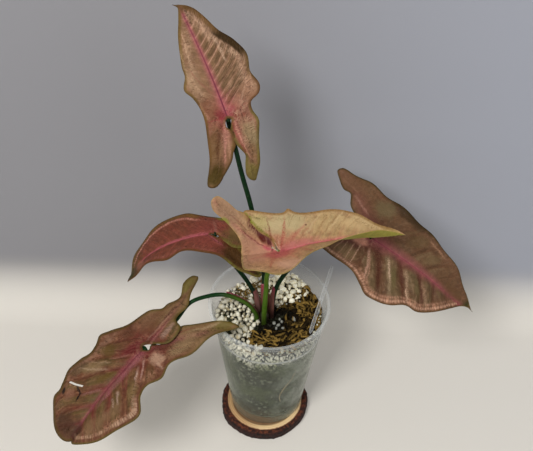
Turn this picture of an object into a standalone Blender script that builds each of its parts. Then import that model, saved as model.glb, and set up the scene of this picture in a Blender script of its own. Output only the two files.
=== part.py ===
"""Arrowhead plant growing in a clear cup that stands on a slice of wood."""
import math
import bpy
import numpy as np
from mathutils import Vector
from mathutils.geometry import delaunay_2d_cdt

# Driving sizes, in millimetres. The cup axis is the z axis and the slice stands on z = 0.
GAP = 0.3
SLICE_X, SLICE_Y = -1.5, -4.3
SLICE_RADIUS = 38.3
WOOD_RADIUS = 33.0
SLICE_HEIGHT = 10.0
CUP_Z = SLICE_HEIGHT + GAP
CUP_HEIGHT = 127.0
CUP_BASE_RADIUS = 31.4
CUP_RING_RADIUS = 44.4
CUP_RING_Z = 113.0
CUP_LIP_RADIUS = 49.0
CUP_MOUTH_RADIUS = 46.0
CUP_WALL = 0.8
CUP_SKIRT = 8.5
CUP_SIDES = 56
RIM_Z = CUP_Z + CUP_HEIGHT
FILL_Z = 117.5
TOP_Z = FILL_Z + GAP
CROWN_X, CROWN_Y = -4.0, -3.0
CROWN_RADIUS = 4.0
CROWN_Z = 126.0
BASE_RING = 6.4
BLADE = 0.7
OUTLINE_STEP = 3.6
SHEET_STEP = 6.6
TAG_WIDTH, TAG_THICK = 5.0, 0.6


def start_empty():
    for thing in list(bpy.data.objects):
        bpy.data.objects.remove(thing, do_unlink=True)


def material(name, colour, rough, metallic=0.0, transmission=0.0, alpha=1.0):
    made = bpy.data.materials.new(name)
    made.use_nodes = True
    shader = made.node_tree.nodes["Principled BSDF"]
    shader.inputs["Base Color"].default_value = (*colour, 1.0)
    shader.inputs["Roughness"].default_value = rough
    shader.inputs["Metallic"].default_value = metallic
    shader.inputs["Transmission Weight"].default_value = transmission
    shader.inputs["Alpha"].default_value = alpha
    return made


def add_mesh(name, points, faces, look, smooth=True):
    """Points in millimetres. The faces must close and wind outwards."""
    mesh = bpy.data.meshes.new(name)
    mesh.from_pydata([tuple(float(c) * 0.001 for c in p) for p in points], [], faces)
    mesh.validate()
    mesh.update()
    for polygon in mesh.polygons:
        polygon.use_smooth = smooth
    mesh.materials.append(look)
    made = bpy.data.objects.new(name, mesh)
    bpy.context.scene.collection.objects.link(made)
    return made


def boolean(target, cutter, operation="DIFFERENCE"):
    cut = target.modifiers.new("cut_" + cutter.name, "BOOLEAN")
    cut.operation = operation
    cut.solver = "EXACT"
    cut.object = cutter
    cutter.hide_render = True
    cutter.display_type = "WIRE"


# Curves


def spline(points, step):
    """A centripetal curve through the points, sampled about every step."""
    points = np.asarray(points, float)
    ends = np.vstack([2 * points[0] - points[1], points, 2 * points[-1] - points[-2]])
    out = []
    for i in range(1, len(ends) - 2):
        a, b, c, d = ends[i - 1:i + 3]
        ta = 0.0
        tb = ta + max(np.linalg.norm(b - a), 1e-6) ** 0.5
        tc = tb + max(np.linalg.norm(c - b), 1e-6) ** 0.5
        td = tc + max(np.linalg.norm(d - c), 1e-6) ** 0.5
        count = max(1, round(np.linalg.norm(c - b) / step))
        for k in range(count):
            t = tb + (tc - tb) * k / count
            ab = (tb - t) / (tb - ta) * a + (t - ta) / (tb - ta) * b
            bc = (tc - t) / (tc - tb) * b + (t - tb) / (tc - tb) * c
            cd = (td - t) / (td - tc) * c + (t - tc) / (td - tc) * d
            abc = (tc - t) / (tc - ta) * ab + (t - ta) / (tc - ta) * bc
            bcd = (td - t) / (td - tb) * bc + (t - tb) / (td - tb) * cd
            out.append((tc - t) / (tc - tb) * abc + (t - tb) / (tc - tb) * bcd)
    out.append(points[-1])
    return np.array(out)


def unit(v):
    v = np.asarray(v, float)
    return v / np.linalg.norm(v)


# Leaves. The flat outline is in millimetres at the leaf's drawing scale: x runs from the petiole
# to the tip, y to the left of the upper face. It is read tip, left margin, left lobe, sinus.


def pose(leaf):
    """The 3-D place of flat points: a bent midrib with a folded, rolled half on each side."""
    along = unit(leaf["toward"])
    face = np.asarray(leaf["face"], float)
    normal = unit(face - face.dot(along) * along)
    left = np.cross(normal, along)
    at = np.asarray(leaf["at"], float)
    length = leaf["length"]
    table = np.linspace(-110.0, 130.0, 481)
    bend = np.radians(leaf["droop"]) * np.clip(table, 0, None) / length
    sway = np.radians(leaf["sway"]) * np.clip(table, 0, None) / length

    def integral(v):
        total = np.concatenate([[0.0], np.cumsum((v[1:] + v[:-1]) / 2 * (table[1] - table[0]))])
        return total - np.interp(0.0, table, total)

    run = integral(np.cos(bend) * np.cos(sway))
    rise = integral(-np.sin(bend))
    side = integral(np.cos(bend) * np.sin(sway))

    def place(x, y, lift=0.0):
        x, y = np.asarray(x, float), np.asarray(y, float)
        th, sw = np.interp(x, table, bend), np.interp(x, table, sway)
        ahead = np.outer(np.cos(sw), along) + np.outer(np.sin(sw), left)
        ahead = ahead * np.cos(th)[:, None] - np.outer(np.sin(th), normal)
        across = np.outer(np.cos(sw), left) - np.outer(np.sin(sw), along)
        above = np.cross(ahead, across)
        rib = at + np.outer(np.interp(x, table, run), along) \
            + np.outer(np.interp(x, table, rise), normal) + np.outer(np.interp(x, table, side), left)
        s = np.where(y >= 0, 1.0, -1.0)
        turn = np.where(y >= 0, blend(leaf["fold"][0], x, length), blend(leaf["fold"][1], x, length))
        curl = np.where(y >= 0, blend(leaf["curl"][0], x, length), blend(leaf["curl"][1], x, length))
        turn, curl = np.radians(turn), np.radians(curl) / 35.0
        curl = np.where(np.abs(curl) < 1e-5, 1e-5, curl)
        a = np.abs(y)
        out = (np.sin(turn + curl * a) - np.sin(turn)) / curl
        up = (np.cos(turn) - np.cos(turn + curl * a)) / curl + lift
        return rib + across * (s * out)[:, None] + above * up[:, None]

    return place


def blend(values, x, length):
    """Lobe, base and tip values, eased along the leaf."""
    lobe, base, tip = values
    a = np.clip(-x / 60.0, 0, 1)
    b = np.clip(x / length, 0, 1)
    return np.where(x < 0, base + (lobe - base) * a * a * (3 - 2 * a),
                    base + (tip - base) * b * b * (3 - 2 * b))


def inside(points, ring):
    hit = np.zeros(len(points), bool)
    x, y = points[:, 0], points[:, 1]
    for (ax, ay), (bx, by) in zip(ring, np.roll(ring, -1, axis=0)):
        crosses = (ay > y) != (by > y)
        hit ^= crosses & (x < (bx - ax) * (y - ay) / (by - ay + 1e-12) + ax)
    return hit


def edge_distance(points, ring):
    """Distance to the outline and the arc position of the nearest place on it."""
    best = np.full(len(points), 1e9)
    arc = np.zeros(len(points))
    start = 0.0
    for a, b in zip(ring, np.roll(ring, -1, axis=0)):
        d = b - a
        size = math.hypot(*d)
        if size < 1e-9:
            continue
        t = np.clip((points - a) @ d / size ** 2, 0, 1)
        far = np.linalg.norm(points - a - t[:, None] * d, axis=1)
        near = far < best
        best = np.where(near, far, best)
        arc = np.where(near, start + t * size, arc)
        start += size
    return best, arc


def outline(leaf, step):
    tip, apex = leaf["tip"], leaf["apex"]
    left = spline([tip, *leaf["left"], apex], step)
    right = spline([apex, *leaf["right"], tip], step)
    return np.vstack([left[:-1], right[:-1]])


def flat_sheet(ring, step, rib_end):
    """Points and triangles filling the outline, with a row of points along the midrib."""
    low, high = ring.min(axis=0), ring.max(axis=0)
    rows = []
    for j, y in enumerate(np.arange(math.floor(low[1] / step) * step, high[1], step * 0.866)):
        xs = np.arange(low[0] + (j % 2) * step / 2, high[0], step)
        rows.append(np.stack([xs, np.full_like(xs, y)], axis=1))
    grid = np.vstack(rows)
    grid = grid[inside(grid, ring)]
    grid = grid[edge_distance(grid, ring)[0] > 0.5 * step]
    grid = grid[~((np.abs(grid[:, 1]) < 0.5 * step) & (grid[:, 0] > -0.5 * step))]
    rib = np.arange(0.8 * step, rib_end - 0.4 * step, 0.9 * step)
    rib = np.stack([rib, np.zeros_like(rib)], axis=1)
    points = np.vstack([ring, rib, grid])
    n, m = len(ring), len(rib)
    edges = [(i, (i + 1) % n) for i in range(n)]
    edges += [(n + i, n + i + 1) for i in range(m - 1)]
    done = delaunay_2d_cdt([Vector(p) for p in points], edges, [], 1, 1e-4)
    verts = np.array([tuple(v) for v in done[0]])
    used = sorted({k for f in done[2] for k in f})
    number = {k: i for i, k in enumerate(used)}
    return verts[used], [tuple(number[k] for k in f) for f in done[2]]


def blade(leaf, step, edge_step, thick):
    ring = outline(leaf, edge_step) * leaf["size"]
    flat, faces = flat_sheet(ring, step, leaf["tip"][0] * leaf["size"])
    far, arc = edge_distance(flat, ring)
    wave = leaf["wave"] * np.sin(arc * math.tau / leaf["wavelength"]) * np.clip(1 - far / 16, 0, 1) ** 2
    wave *= np.clip(np.hypot(flat[:, 0], flat[:, 1]) / 14, 0, 1) ** 2
    place = pose(leaf)
    middle = place(flat[:, 0], flat[:, 1], wave)
    normals = np.zeros_like(middle)
    for a, b, c in faces:
        n = np.cross(middle[b] - middle[a], middle[c] - middle[a])
        for k in (a, b, c):
            normals[k] += n
    normals /= np.linalg.norm(normals, axis=1)[:, None]
    up = np.cross(place([1.0], [1.0])[0] - place([0.0], [0.0])[0], place([-1.0], [1.0])[0] - place([0.0], [0.0])[0])
    flip = np.dot(up, normals[np.argmin(np.hypot(flat[:, 0] - 5, flat[:, 1]))]) < 0
    if flip:
        faces = [f[::-1] for f in faces]
        normals = -normals
    keel = 0.5 * np.exp(-(flat[:, 1] / 1.5) ** 2) * np.clip(1 - np.abs(flat[:, 0] - 20) / 90, 0, 1)
    keel = np.where(flat[:, 0] > 0, keel, 0.0)
    top = middle + normals * thick / 2
    under = middle - normals * (thick / 2 + keel)[:, None]
    n = len(middle)
    solid = list(faces) + [(c + n, b + n, a + n) for a, b, c in faces]
    sides = {}
    for f in faces:
        for i in range(3):
            sides[(f[i], f[(i + 1) % 3])] = True
    for a, b in list(sides):
        if (b, a) not in sides:
            solid += [(b, a, a + n), (b, a + n, b + n)]
    return np.vstack([top, under]), solid


LEAVES = {
    "leaf_top": dict(
        at=(-32.5, 21.4, 298.0), toward=(-25, 0, 88), face=(0.1, -0.85, 0.45), size=1.0,
        length=87, droop=6, sway=7, wave=1.3, wavelength=29,
        fold=((-4, -5, 5), (-4, -5, 5)), curl=((0, 0, 0), (0, 0, -12)),
        tip=(88, 3), apex=(0, 0),
        left=[(85, 1), (80, 3), (65, 10), (48, 15), (40, 16), (32, 20), (24, 17), (8, 15), (-6, 17),
              (-25, 21), (-40, 26), (-51, 30), (-53, 25), (-46, 15), (-38, 9), (-30, 5), (-20, 2),
              (-11, 2), (-6, 3), (-2, 2)],
        right=[(-2, -2), (-6, -1), (-11, 0), (-20, 0), (-27, -1), (-36, -3), (-42, -1), (-50, 1),
               (-57, -1), (-60, -4), (-57, -6), (-45, -11), (-30, -15), (-18, -18), (-10, -20),
               (-2, -18), (5, -19), (10, -26), (15, -28), (26, -25), (38, -27), (48, -23),
               (60, -16), (72, -11), (84, -4)]),
    "leaf_right": dict(
        at=(78.6, 31.4, 179.0), toward=(80, -52, -14), face=(0.15, -0.45, 0.88), size=0.945,
        length=98, droop=34, sway=0, wave=1.4, wavelength=31,
        fold=((0, 0, 0), (0, 0, 0)), curl=((0, 0, 0), (0, 0, 0)),
        tip=(106, 3), apex=(0, 0),
        left=[(99, 6), (90, 13), (78, 21), (60, 28), (45, 32), (30, 35), (18, 38), (5, 40), (-12, 42),
              (-27, 45), (-45, 45), (-56, 44), (-59, 40), (-52, 33), (-44, 27), (-37, 26), (-31, 17),
              (-25, 13), (-14, 7), (-6, 2)],
        right=[(-6, -1), (-20, -4), (-36, -8), (-50, -15), (-57, -21), (-54, -26), (-40, -30),
               (-24, -31), (-8, -33), (5, -35), (14, -40), (23, -46), (32, -45), (44, -40),
               (54, -33), (64, -31), (76, -22), (88, -8), (96, 1), (100, 3)]),
    "leaf_centre": dict(
        at=(6.3, -7.4, 200.6), toward=(90, -3, 22), face=(0, -0.45, 0.9), size=1.0,
        length=96, droop=0, sway=0, wave=1.0, wavelength=27,
        fold=((25, 25, 20), (40, 40, 100)), curl=((0, 0, 0), (0, 0, 0)),
        tip=(92, 1), apex=(-1, 0),
        left=[(84, 6), (72, 12), (60, 20), (48, 25), (30, 26), (15, 27), (10, 30), (7, 28), (-8, 30),
              (-23, 33), (-24, 31), (-20, 23), (-12, 13), (-6, 5)],
        right=[(-5, 1), (-13, 9), (-19, 17), (-24, 25), (-28, 32), (-34, 41), (-41, 46), (-46, 44),
               (-46, 37), (-38, 27), (-31, 17), (-28, 8), (-29, 0), (-28, -10), (-24, -20),
               (-15, -23), (-8, -26), (-3, -30), (4, -32), (11, -29), (20, -21), (30, -14),
               (42, -14), (56, -14), (70, -11), (84, -5)]),
    "leaf_left": dict(
        at=(-49.0, 28.9, 180.7), toward=(-69, -7, -3), face=(0, -0.05, 1), size=1.0,
        length=96, droop=72, sway=0, wave=0.9, wavelength=33,
        fold=((0, 0, 0), (0, 0, 0)), curl=((0, 0, 0), (0, 0, 0)),
        tip=(91, 2), apex=(-1, 0),
        left=[(82, 8), (74, 10), (60, 9), (48, 12), (35, 16), (22, 14), (8, 17), (-4, 22), (-18, 36),
              (-27, 43), (-35, 48), (-38, 45), (-33, 36), (-26, 24), (-18, 15), (-12, 9), (-6, 4)],
        right=[(-6, 1), (-12, 6), (-18, 12), (-26, 15), (-38, 14), (-50, 6), (-52, 0), (-44, -7),
               (-28, -11), (-14, -15), (-4, -19), (8, -22), (18, -26), (30, -28), (45, -25),
               (60, -21), (72, -13), (82, -3)]),
    "leaf_low": dict(
        at=(-95.0, -48.2, 131.2), toward=(-52, -58, -14), face=(-0.235, -0.103, 0.967), size=0.904,
        length=98, droop=32, sway=0, wave=1.4, wavelength=35,
        fold=((0, 0, 0), (0, 0, 0)), curl=((0, 0, 0), (0, 0, 0)),
        tip=(93, 1), apex=(0, 0),
        left=[(94, 4), (85, 18), (70, 30), (55, 38), (41, 41), (30, 32), (20, 29), (8, 33), (-4, 30),
              (-20, 36), (-40, 38), (-55, 43), (-67, 49), (-67, 45), (-60, 33), (-51, 21), (-40, 13),
              (-33, 11), (-25, 11), (-15, 9), (-8, 4), (-3, 4)],
        right=[(-3, -3), (-7, -2), (-11, 2), (-17, 7), (-26, 9), (-34, 7), (-38, 0), (-45, -3),
               (-55, -3), (-65, -9), (-76, -15), (-84, -21), (-82, -25), (-70, -24), (-58, -17),
               (-46, -20), (-39, -19), (-30, -27), (-20, -31), (-5, -33), (5, -39), (13, -45),
               (22, -40), (30, -37), (40, -41), (52, -45), (62, -40), (68, -37), (76, -38),
               (90, -27), (97, -8), (96, -2)]),
}


# Petioles: a tube through hand-set points, flattened into a sheath low down.


def tube(path, radii, widths, sides, reference, step):
    """Radii and widths are given at the path points. Width is across the reference direction."""
    path = np.asarray(path, float)
    knots = np.concatenate([[0.0], np.cumsum(np.linalg.norm(np.diff(path, axis=0), axis=1))])
    curve = spline(path, step)
    place = np.concatenate([[0.0], np.cumsum(np.linalg.norm(np.diff(curve, axis=0), axis=1))])
    place = place / place[-1] * knots[-1]
    r = np.interp(place, knots, radii)
    w = np.interp(place, knots, widths)
    tangent = np.gradient(curve, axis=0)
    tangent /= np.linalg.norm(tangent, axis=1)[:, None]
    side = unit(np.cross(tangent[0], np.asarray(reference, float)))
    points = []
    for k in range(len(curve)):
        side = unit(side - side.dot(tangent[k]) * tangent[k])
        front = np.cross(tangent[k], side)
        for j in range(sides):
            a = math.tau * j / sides
            points.append(curve[k] + side * w[k] * math.cos(a) + front * r[k] * math.sin(a))
    rings = len(curve)
    faces = []
    for k in range(rings - 1):
        for j in range(sides):
            a, b = k * sides + j, k * sides + (j + 1) % sides
            faces.append((a, b, b + sides, a + sides))
    faces.append(tuple(reversed(range(sides))))
    faces.append(tuple((rings - 1) * sides + j for j in range(sides)))
    return points, faces


def ring_base(azimuth):
    a = math.radians(azimuth)
    return (CROWN_X + BASE_RING * math.cos(a), CROWN_Y + BASE_RING * math.sin(a), TOP_Z)


PETIOLES = {
    "petiole_top": dict(leaf="leaf_top", azimuth=85, tall=12, reach=6,
                        through=[(-6, 10, 168), (-16, 17, 222), (-23, 21, 250), (-29, 25, 277)]),
    "petiole_right": dict(leaf="leaf_right", azimuth=25, tall=10, reach=8,
                          through=[(5, 4, 148), (14, 7, 166), (27, 18, 172), (41, 28, 172),
                                   (58, 32, 171), (69, 34, 171)]),
    "petiole_centre": dict(leaf="leaf_centre", azimuth=270, tall=16, reach=7,
                           through=[(-3, -8, 158), (-2, -10, 180)]),
    "petiole_left": dict(leaf="leaf_left", azimuth=140, tall=8, reach=7,
                         through=[(-12, 7, 136), (-19, 13, 146), (-28, 15, 160), (-38, 21, 170)]),
    "petiole_low": dict(leaf="leaf_low", azimuth=195, tall=6, reach=7,
                        through=[(-16, -5, 136), (-24, -5, 143), (-36, -5, 148), (-50, -3, 143),
                                 (-63, -4, 136), (-73, -19, 132), (-86, -35, 128)]),
}


# Bodies that are turned or laid in a ring


def lathe(profile, sides, x=0.0, y=0.0, wobble=None):
    """Profile of (radius, z) from the axis to the axis, anticlockwise seen with z up."""
    points, faces = [], []
    rows = []
    for i, (r, z) in enumerate(profile):
        if r < 1e-6:
            rows.append([len(points)])
            points.append((x, y, z))
            continue
        rows.append(list(range(len(points), len(points) + sides)))
        for j in range(sides):
            a = math.tau * j / sides
            s = wobble(a, i) if wobble else 0.0
            points.append((x + (r + s) * math.cos(a), y + (r + s) * math.sin(a), z))
    for low, high in zip(rows, rows[1:]):
        for j in range(sides):
            k = (j + 1) % sides
            if len(low) == 1:
                faces.append((low[0], high[k], high[j]))
            elif len(high) == 1:
                faces.append((low[j], low[k], high[0]))
            else:
                faces.append((low[j], low[k], high[k], high[j]))
    return points, faces


def cup_inner(z):
    """Inner radius of the cup wall at height z, below the ring."""
    t = (z - CUP_Z) / (CUP_RING_Z - CUP_Z)
    return CUP_BASE_RADIUS - CUP_WALL + (CUP_RING_RADIUS - 0.6 - CUP_BASE_RADIUS) * t


def bump(x, y, scale, seed):
    return (math.sin(x / scale + seed) * math.cos(y / scale * 1.3 + 2.1 * seed)
            + 0.6 * math.sin((x + 1.7 * y) / scale * 1.9 + seed * 0.7)) / 1.6


def ring_sector(start, end, inner, outer, steps, rows, bottom, top):
    """A closed block between two bearings and two radii with a shaped top."""
    points, faces = [], []
    n = rows + 1
    for level in (0, 1):
        for i in range(steps + 1):
            a = math.radians(start + (end - start) * i / steps)
            for j in range(n):
                r = inner + (outer - inner) * j / rows
                x, y = r * math.cos(a), r * math.sin(a)
                points.append((x, y, top(x, y) if level else bottom))
    size = (steps + 1) * n

    def at(level, i, j):
        return level * size + i * n + j

    for i in range(steps):
        for j in range(rows):
            faces.append((at(1, i, j), at(1, i, j + 1), at(1, i + 1, j + 1)))
            faces.append((at(1, i, j), at(1, i + 1, j + 1), at(1, i + 1, j)))
            faces.append((at(0, i, j), at(0, i + 1, j), at(0, i + 1, j + 1), at(0, i, j + 1)))
    for i in range(steps):
        faces.append((at(0, i, 0), at(1, i, 0), at(1, i + 1, 0), at(0, i + 1, 0)))
        faces.append((at(0, i, rows), at(0, i + 1, rows), at(1, i + 1, rows), at(1, i, rows)))
    for j in range(rows):
        faces.append((at(0, 0, j), at(0, 0, j + 1), at(1, 0, j + 1), at(1, 0, j)))
        faces.append((at(0, steps, j), at(1, steps, j), at(1, steps, j + 1), at(0, steps, j + 1)))
    return points, faces


def build_slice():
    def wobble(a, i):
        if i in (0, 7):
            return 0.0
        rough = 0.9 * math.sin(2 * a + 0.6) + 0.5 * math.sin(5 * a + 1.9) + 0.35 * math.sin(9 * a)
        return rough if i in (1, 2, 3, 4) else 0.35 * rough

    profile = [(0, 0), (SLICE_RADIUS - 0.6, 0), (SLICE_RADIUS, 1.2), (SLICE_RADIUS + 0.3, 6),
               (SLICE_RADIUS - 0.8, 9.2), (WOOD_RADIUS + 0.8, 9.2), (WOOD_RADIUS, SLICE_HEIGHT),
               (0, SLICE_HEIGHT)]
    points, faces = lathe(profile, 60, SLICE_X, SLICE_Y, wobble)
    look = material("slice_wood", (0.42, 0.2, 0.08), 0.7)
    return add_mesh("wood_slice", points, faces, look)


def build_cup():
    r, w, z = CUP_BASE_RADIUS, CUP_WALL, CUP_Z
    ring, top = CUP_RING_RADIUS, RIM_Z
    floor = z + CUP_SKIRT
    grow = (ring - 0.6 - r) * CUP_SKIRT / (CUP_RING_Z - z)
    profile = [(0, floor), (r - w + grow - 0.3, floor), (r - w, z), (r, z),
               (ring - 0.6, CUP_RING_Z - 1.6), (ring, CUP_RING_Z), (ring + 0.2, CUP_RING_Z + 1.6),
               (46.4, top - 5.0), (48.2, top - 3.2), (CUP_LIP_RADIUS, top - 1.6), (48.1, top),
               (CUP_MOUTH_RADIUS + 0.3, top - 0.5), (46.4 - w, top - 5.0),
               (ring + 0.2 - w, CUP_RING_Z + 1.4), (cup_inner(CUP_RING_Z - 1.6), CUP_RING_Z - 1.6),
               (cup_inner(floor + w), floor + w), (0, floor + w)]
    points, faces = lathe(profile, CUP_SIDES)
    look = material("clear_plastic", (0.9, 0.93, 0.92), 0.15, transmission=0.9)
    return add_mesh("cup", points, faces, look)


def build_fill():
    floor = CUP_Z + CUP_SKIRT + CUP_WALL + GAP
    ring_low = CUP_RING_Z - 1.7
    profile = [(0, floor), (cup_inner(floor) - GAP, floor), (cup_inner(ring_low) - GAP - 0.1, ring_low),
               (43.4, FILL_Z), (0, FILL_Z)]
    points, faces = lathe(profile, CUP_SIDES)
    soil = add_mesh("soil", points, faces, material("dark_soil", (0.03, 0.022, 0.017), 0.9))
    hole = lathe([(0, 90), (CROWN_RADIUS + GAP + 0.1, 90), (CROWN_RADIUS + GAP + 0.1, 130), (0, 130)],
                 24, CROWN_X, CROWN_Y)
    boolean(soil, add_mesh("crown_hole", *hole, material("cutter", (0.5, 0.5, 0.5), 0.5)))
    path = [(22, -31.5, 92), (20, -31.5, 78), (13, -33.5, 66), (9, -32.5, 52), (10, -31, 44)]
    root = tube(path, [1.1, 1.1, 1.0, 0.9, 0.7], [1.1, 1.1, 1.0, 0.9, 0.7], 8, (1, 0, 0), 6)
    room = tube(path[:1] + path[1:], [1.5, 1.5, 1.4, 1.3, 1.1], [1.5, 1.5, 1.4, 1.3, 1.1], 8,
                (1, 0, 0), 6)
    return soil, root, room


def mound(x, y):
    """Extra height of the pumice heap at the back right."""
    return 8.0 * math.exp(-((x - 17) ** 2 + (y - 31) ** 2) / 170.0)


def build_surface():
    pumice = ring_sector(47, 238, 14.3, 43.0, 26, 6, TOP_Z,
                         lambda x, y: 121.3 + 1.1 * bump(x, y, 2.9, 1.0) + mound(x, y))
    add_mesh("pumice", *pumice, material("white_pumice", (0.62, 0.6, 0.53), 0.85))
    moss = ring_sector(239.5, 405.5, 23.0, 43.0, 22, 4, TOP_Z,
                       lambda x, y: 121.2 + 0.9 * bump(x, y, 3.7, 2.3))
    add_mesh("moss", *moss, material("brown_moss", (0.22, 0.13, 0.05), 0.9))
    dark = ring_sector(241, 405.5, 14.3, 22.5, 16, 2, TOP_Z,
                       lambda x, y: 120.1 + 0.6 * bump(x, y, 3.1, 0.4))
    add_mesh("soil_top", *dark, material("loose_soil", (0.03, 0.022, 0.017), 0.9))


def build_crown():
    r = CROWN_RADIUS
    profile = [(0, 96), (r - 1, 96), (r, 100), (r, CROWN_Z - 4), (r * 0.75, CROWN_Z - 1), (0, CROWN_Z)]
    points, faces = lathe(profile, 20, CROWN_X, CROWN_Y)
    add_mesh("crown", points, faces, material("green_stem", (0.06, 0.1, 0.03), 0.5))


def build_tag():
    """The strip stands in the moss, leans on the rim and shows its edge to the front."""
    low, high = np.array([32.5, -22.0, 124.6]), np.array([50.4, 29.0, 148.6])
    along = unit(high - low)
    across = unit(np.cross(along, (0.75, -0.35, 0.3)))
    thick = np.cross(across, along)
    points = []
    for end in (low, high):
        for a, b in ((-1, -1), (1, -1), (1, 1), (-1, 1)):
            points.append(end + across * a * TAG_WIDTH / 2 + thick * b * TAG_THICK / 2)
    faces = [(0, 1, 2, 3), (7, 6, 5, 4), (0, 4, 5, 1), (1, 5, 6, 2), (2, 6, 7, 3), (3, 7, 4, 0)]
    look = material("clear_strip", (0.85, 0.88, 0.88), 0.2, transmission=0.8)
    add_mesh("plant_tag", points, faces, look, smooth=False)


def build_leaves():
    colours = {"leaf_top": (0.4, 0.22, 0.15), "leaf_right": (0.15, 0.08, 0.045),
               "leaf_centre": (0.6, 0.4, 0.25), "leaf_left": (0.25, 0.09, 0.06),
               "leaf_low": (0.2, 0.09, 0.055)}
    for name, leaf in LEAVES.items():
        points, faces = blade(leaf, SHEET_STEP, OUTLINE_STEP, BLADE)
        add_mesh(name, points, faces, material("skin_" + name, colours[name], 0.5))
    for name, stalk in PETIOLES.items():
        leaf = LEAVES[stalk["leaf"]]
        along = unit(leaf["toward"])
        face = np.asarray(leaf["face"], float)
        normal = unit(face - face.dot(along) * along)
        meet = np.asarray(leaf["at"], float) - normal * (BLADE / 2 + GAP + 0.6)
        base = np.array(ring_base(stalk["azimuth"]))
        path = [base, base + (0, 0, stalk["tall"]), *stalk["through"],
                meet - normal * stalk["reach"] - along * 2.0, meet]
        count = len(path)
        radii = [1.9, 1.9] + [1.7 - 0.3 * k / count for k in range(count - 3)] + [1.2]
        widths = [2.6, 2.6] + [1.9 - 0.5 * k / count for k in range(count - 3)] + [1.2]
        out = (base[0] - CROWN_X, base[1] - CROWN_Y, 0)
        points, faces = tube(path, radii, widths, 8, out, 9)
        green = (0.16, 0.3, 0.05) if name == "petiole_centre" else (0.02, 0.06, 0.015)
        add_mesh(name, points, faces, material("green_" + name, green, 0.4))


def build():
    start_empty()
    build_slice()
    build_cup()
    soil, root, room = build_fill()
    boolean(soil, add_mesh("root_room", *room, material("room", (0.5, 0.5, 0.5), 0.5)))
    add_mesh("root", *root, material("tan_root", (0.4, 0.27, 0.14), 0.6))
    build_surface()
    build_crown()
    build_tag()
    build_leaves()


build()
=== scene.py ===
"""Arrowhead plant in a clear plastic cup on a slice of wood."""
import math
import random

import bmesh
import bpy
import numpy as np
from mathutils import Matrix, Vector
from mathutils.geometry import delaunay_2d_cdt


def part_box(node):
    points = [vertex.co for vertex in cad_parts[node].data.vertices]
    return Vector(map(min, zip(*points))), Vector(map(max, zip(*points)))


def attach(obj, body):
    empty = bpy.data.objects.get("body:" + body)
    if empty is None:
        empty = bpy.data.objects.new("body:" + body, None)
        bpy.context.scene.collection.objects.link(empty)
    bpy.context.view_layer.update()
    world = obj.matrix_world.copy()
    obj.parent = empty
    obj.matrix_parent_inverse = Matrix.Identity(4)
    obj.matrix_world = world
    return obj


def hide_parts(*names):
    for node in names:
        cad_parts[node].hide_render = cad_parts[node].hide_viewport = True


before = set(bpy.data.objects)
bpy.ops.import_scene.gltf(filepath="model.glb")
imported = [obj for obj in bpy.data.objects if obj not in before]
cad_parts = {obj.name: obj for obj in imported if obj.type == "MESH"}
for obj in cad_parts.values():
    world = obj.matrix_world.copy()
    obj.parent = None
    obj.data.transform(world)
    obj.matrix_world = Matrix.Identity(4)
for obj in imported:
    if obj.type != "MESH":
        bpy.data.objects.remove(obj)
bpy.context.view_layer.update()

# Camera. The cup's rim, ring and base in the photograph fix its height, tilt and lens; it looks
# along +Y and is rolled a little. Positions here and below are in millimetres until MM is applied.

MM = 0.001
PHOTO_WIDTH = 533
FOCAL_PIXELS = 800
TILT, ROLL = 46.6, 1.6
CAMERA_AT = (-4.1, -421.9, 618.0)

camera = bpy.data.objects.new("camera", bpy.data.cameras.new("camera"))
bpy.context.scene.collection.objects.link(camera)
camera.data.sensor_fit = "HORIZONTAL"
camera.data.sensor_width = 36.0
camera.data.lens = 36.0 * FOCAL_PIXELS / PHOTO_WIDTH
camera.data.clip_start = 0.01
camera.matrix_world = (Matrix.Translation(Vector(CAMERA_AT) * MM)
                       @ Matrix.Rotation(math.radians(TILT), 4, "X")
                       @ Matrix.Rotation(math.radians(ROLL), 4, "Z"))
bpy.context.scene.camera = camera

# Studio. A pale floor sweeps up into a pale grey wall close behind the plant. A large soft lamp
# stands in front, above and to the left, so that the leaves' shadows fall back to the right, and a
# weaker one fills them from the right.

WALL_Y = 122.0
SWEEP_RADIUS = 45.0


def srgb(red, green, blue):
    """A linear colour from display values of 0 to 255."""
    out = []
    for value in (red, green, blue):
        v = value / 255.0
        out.append(v / 12.92 if v <= 0.04045 else ((v + 0.055) / 1.055) ** 2.4)
    return (*out, 1.0)


def give(tree, socket, value):
    """Links the value into the socket, or sets it there where it is no socket itself."""
    if isinstance(value, bpy.types.NodeSocket):
        tree.links.new(value, socket)
    else:
        socket.default_value = value


def node(tree, kind, links=None, **settings):
    """A node of the kind, with its settings, and values or sockets for its inputs."""
    made = tree.nodes.new("ShaderNode" + kind)
    for name, value in settings.items():
        setattr(made, name, value)
    for name, value in (links or {}).items():
        give(tree, made.inputs[name], value)
    return made


def calc(tree, operation, a, b=0.0):
    return node(tree, "Math", {0: a, 1: b}, operation=operation).outputs[0]


def times(tree, *values):
    out = values[0]
    for value in values[1:]:
        out = calc(tree, "MULTIPLY", out, value)
    return out


def fade(tree, value, start, end, low=0.0, high=1.0):
    """Low before start, high after end, and smooth between."""
    made = node(tree, "MapRange", {"Value": value, "From Min": start, "From Max": end,
                                   "To Min": low, "To Max": high}, interpolation_type="SMOOTHSTEP")
    return made.outputs["Result"]


def mixed(tree, factor, a, b, blend="MIX"):
    made = node(tree, "Mix", {"Factor": factor, 6: a, 7: b}, data_type="RGBA", blend_type=blend)
    return made.outputs[2]


def noise(tree, place, scale, detail=3.0, rough=0.5, twist=0.0):
    made = node(tree, "TexNoise", {"Vector": place, "Scale": scale, "Detail": detail,
                                   "Roughness": rough, "Distortion": twist})
    return made.outputs["Fac"]


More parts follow.
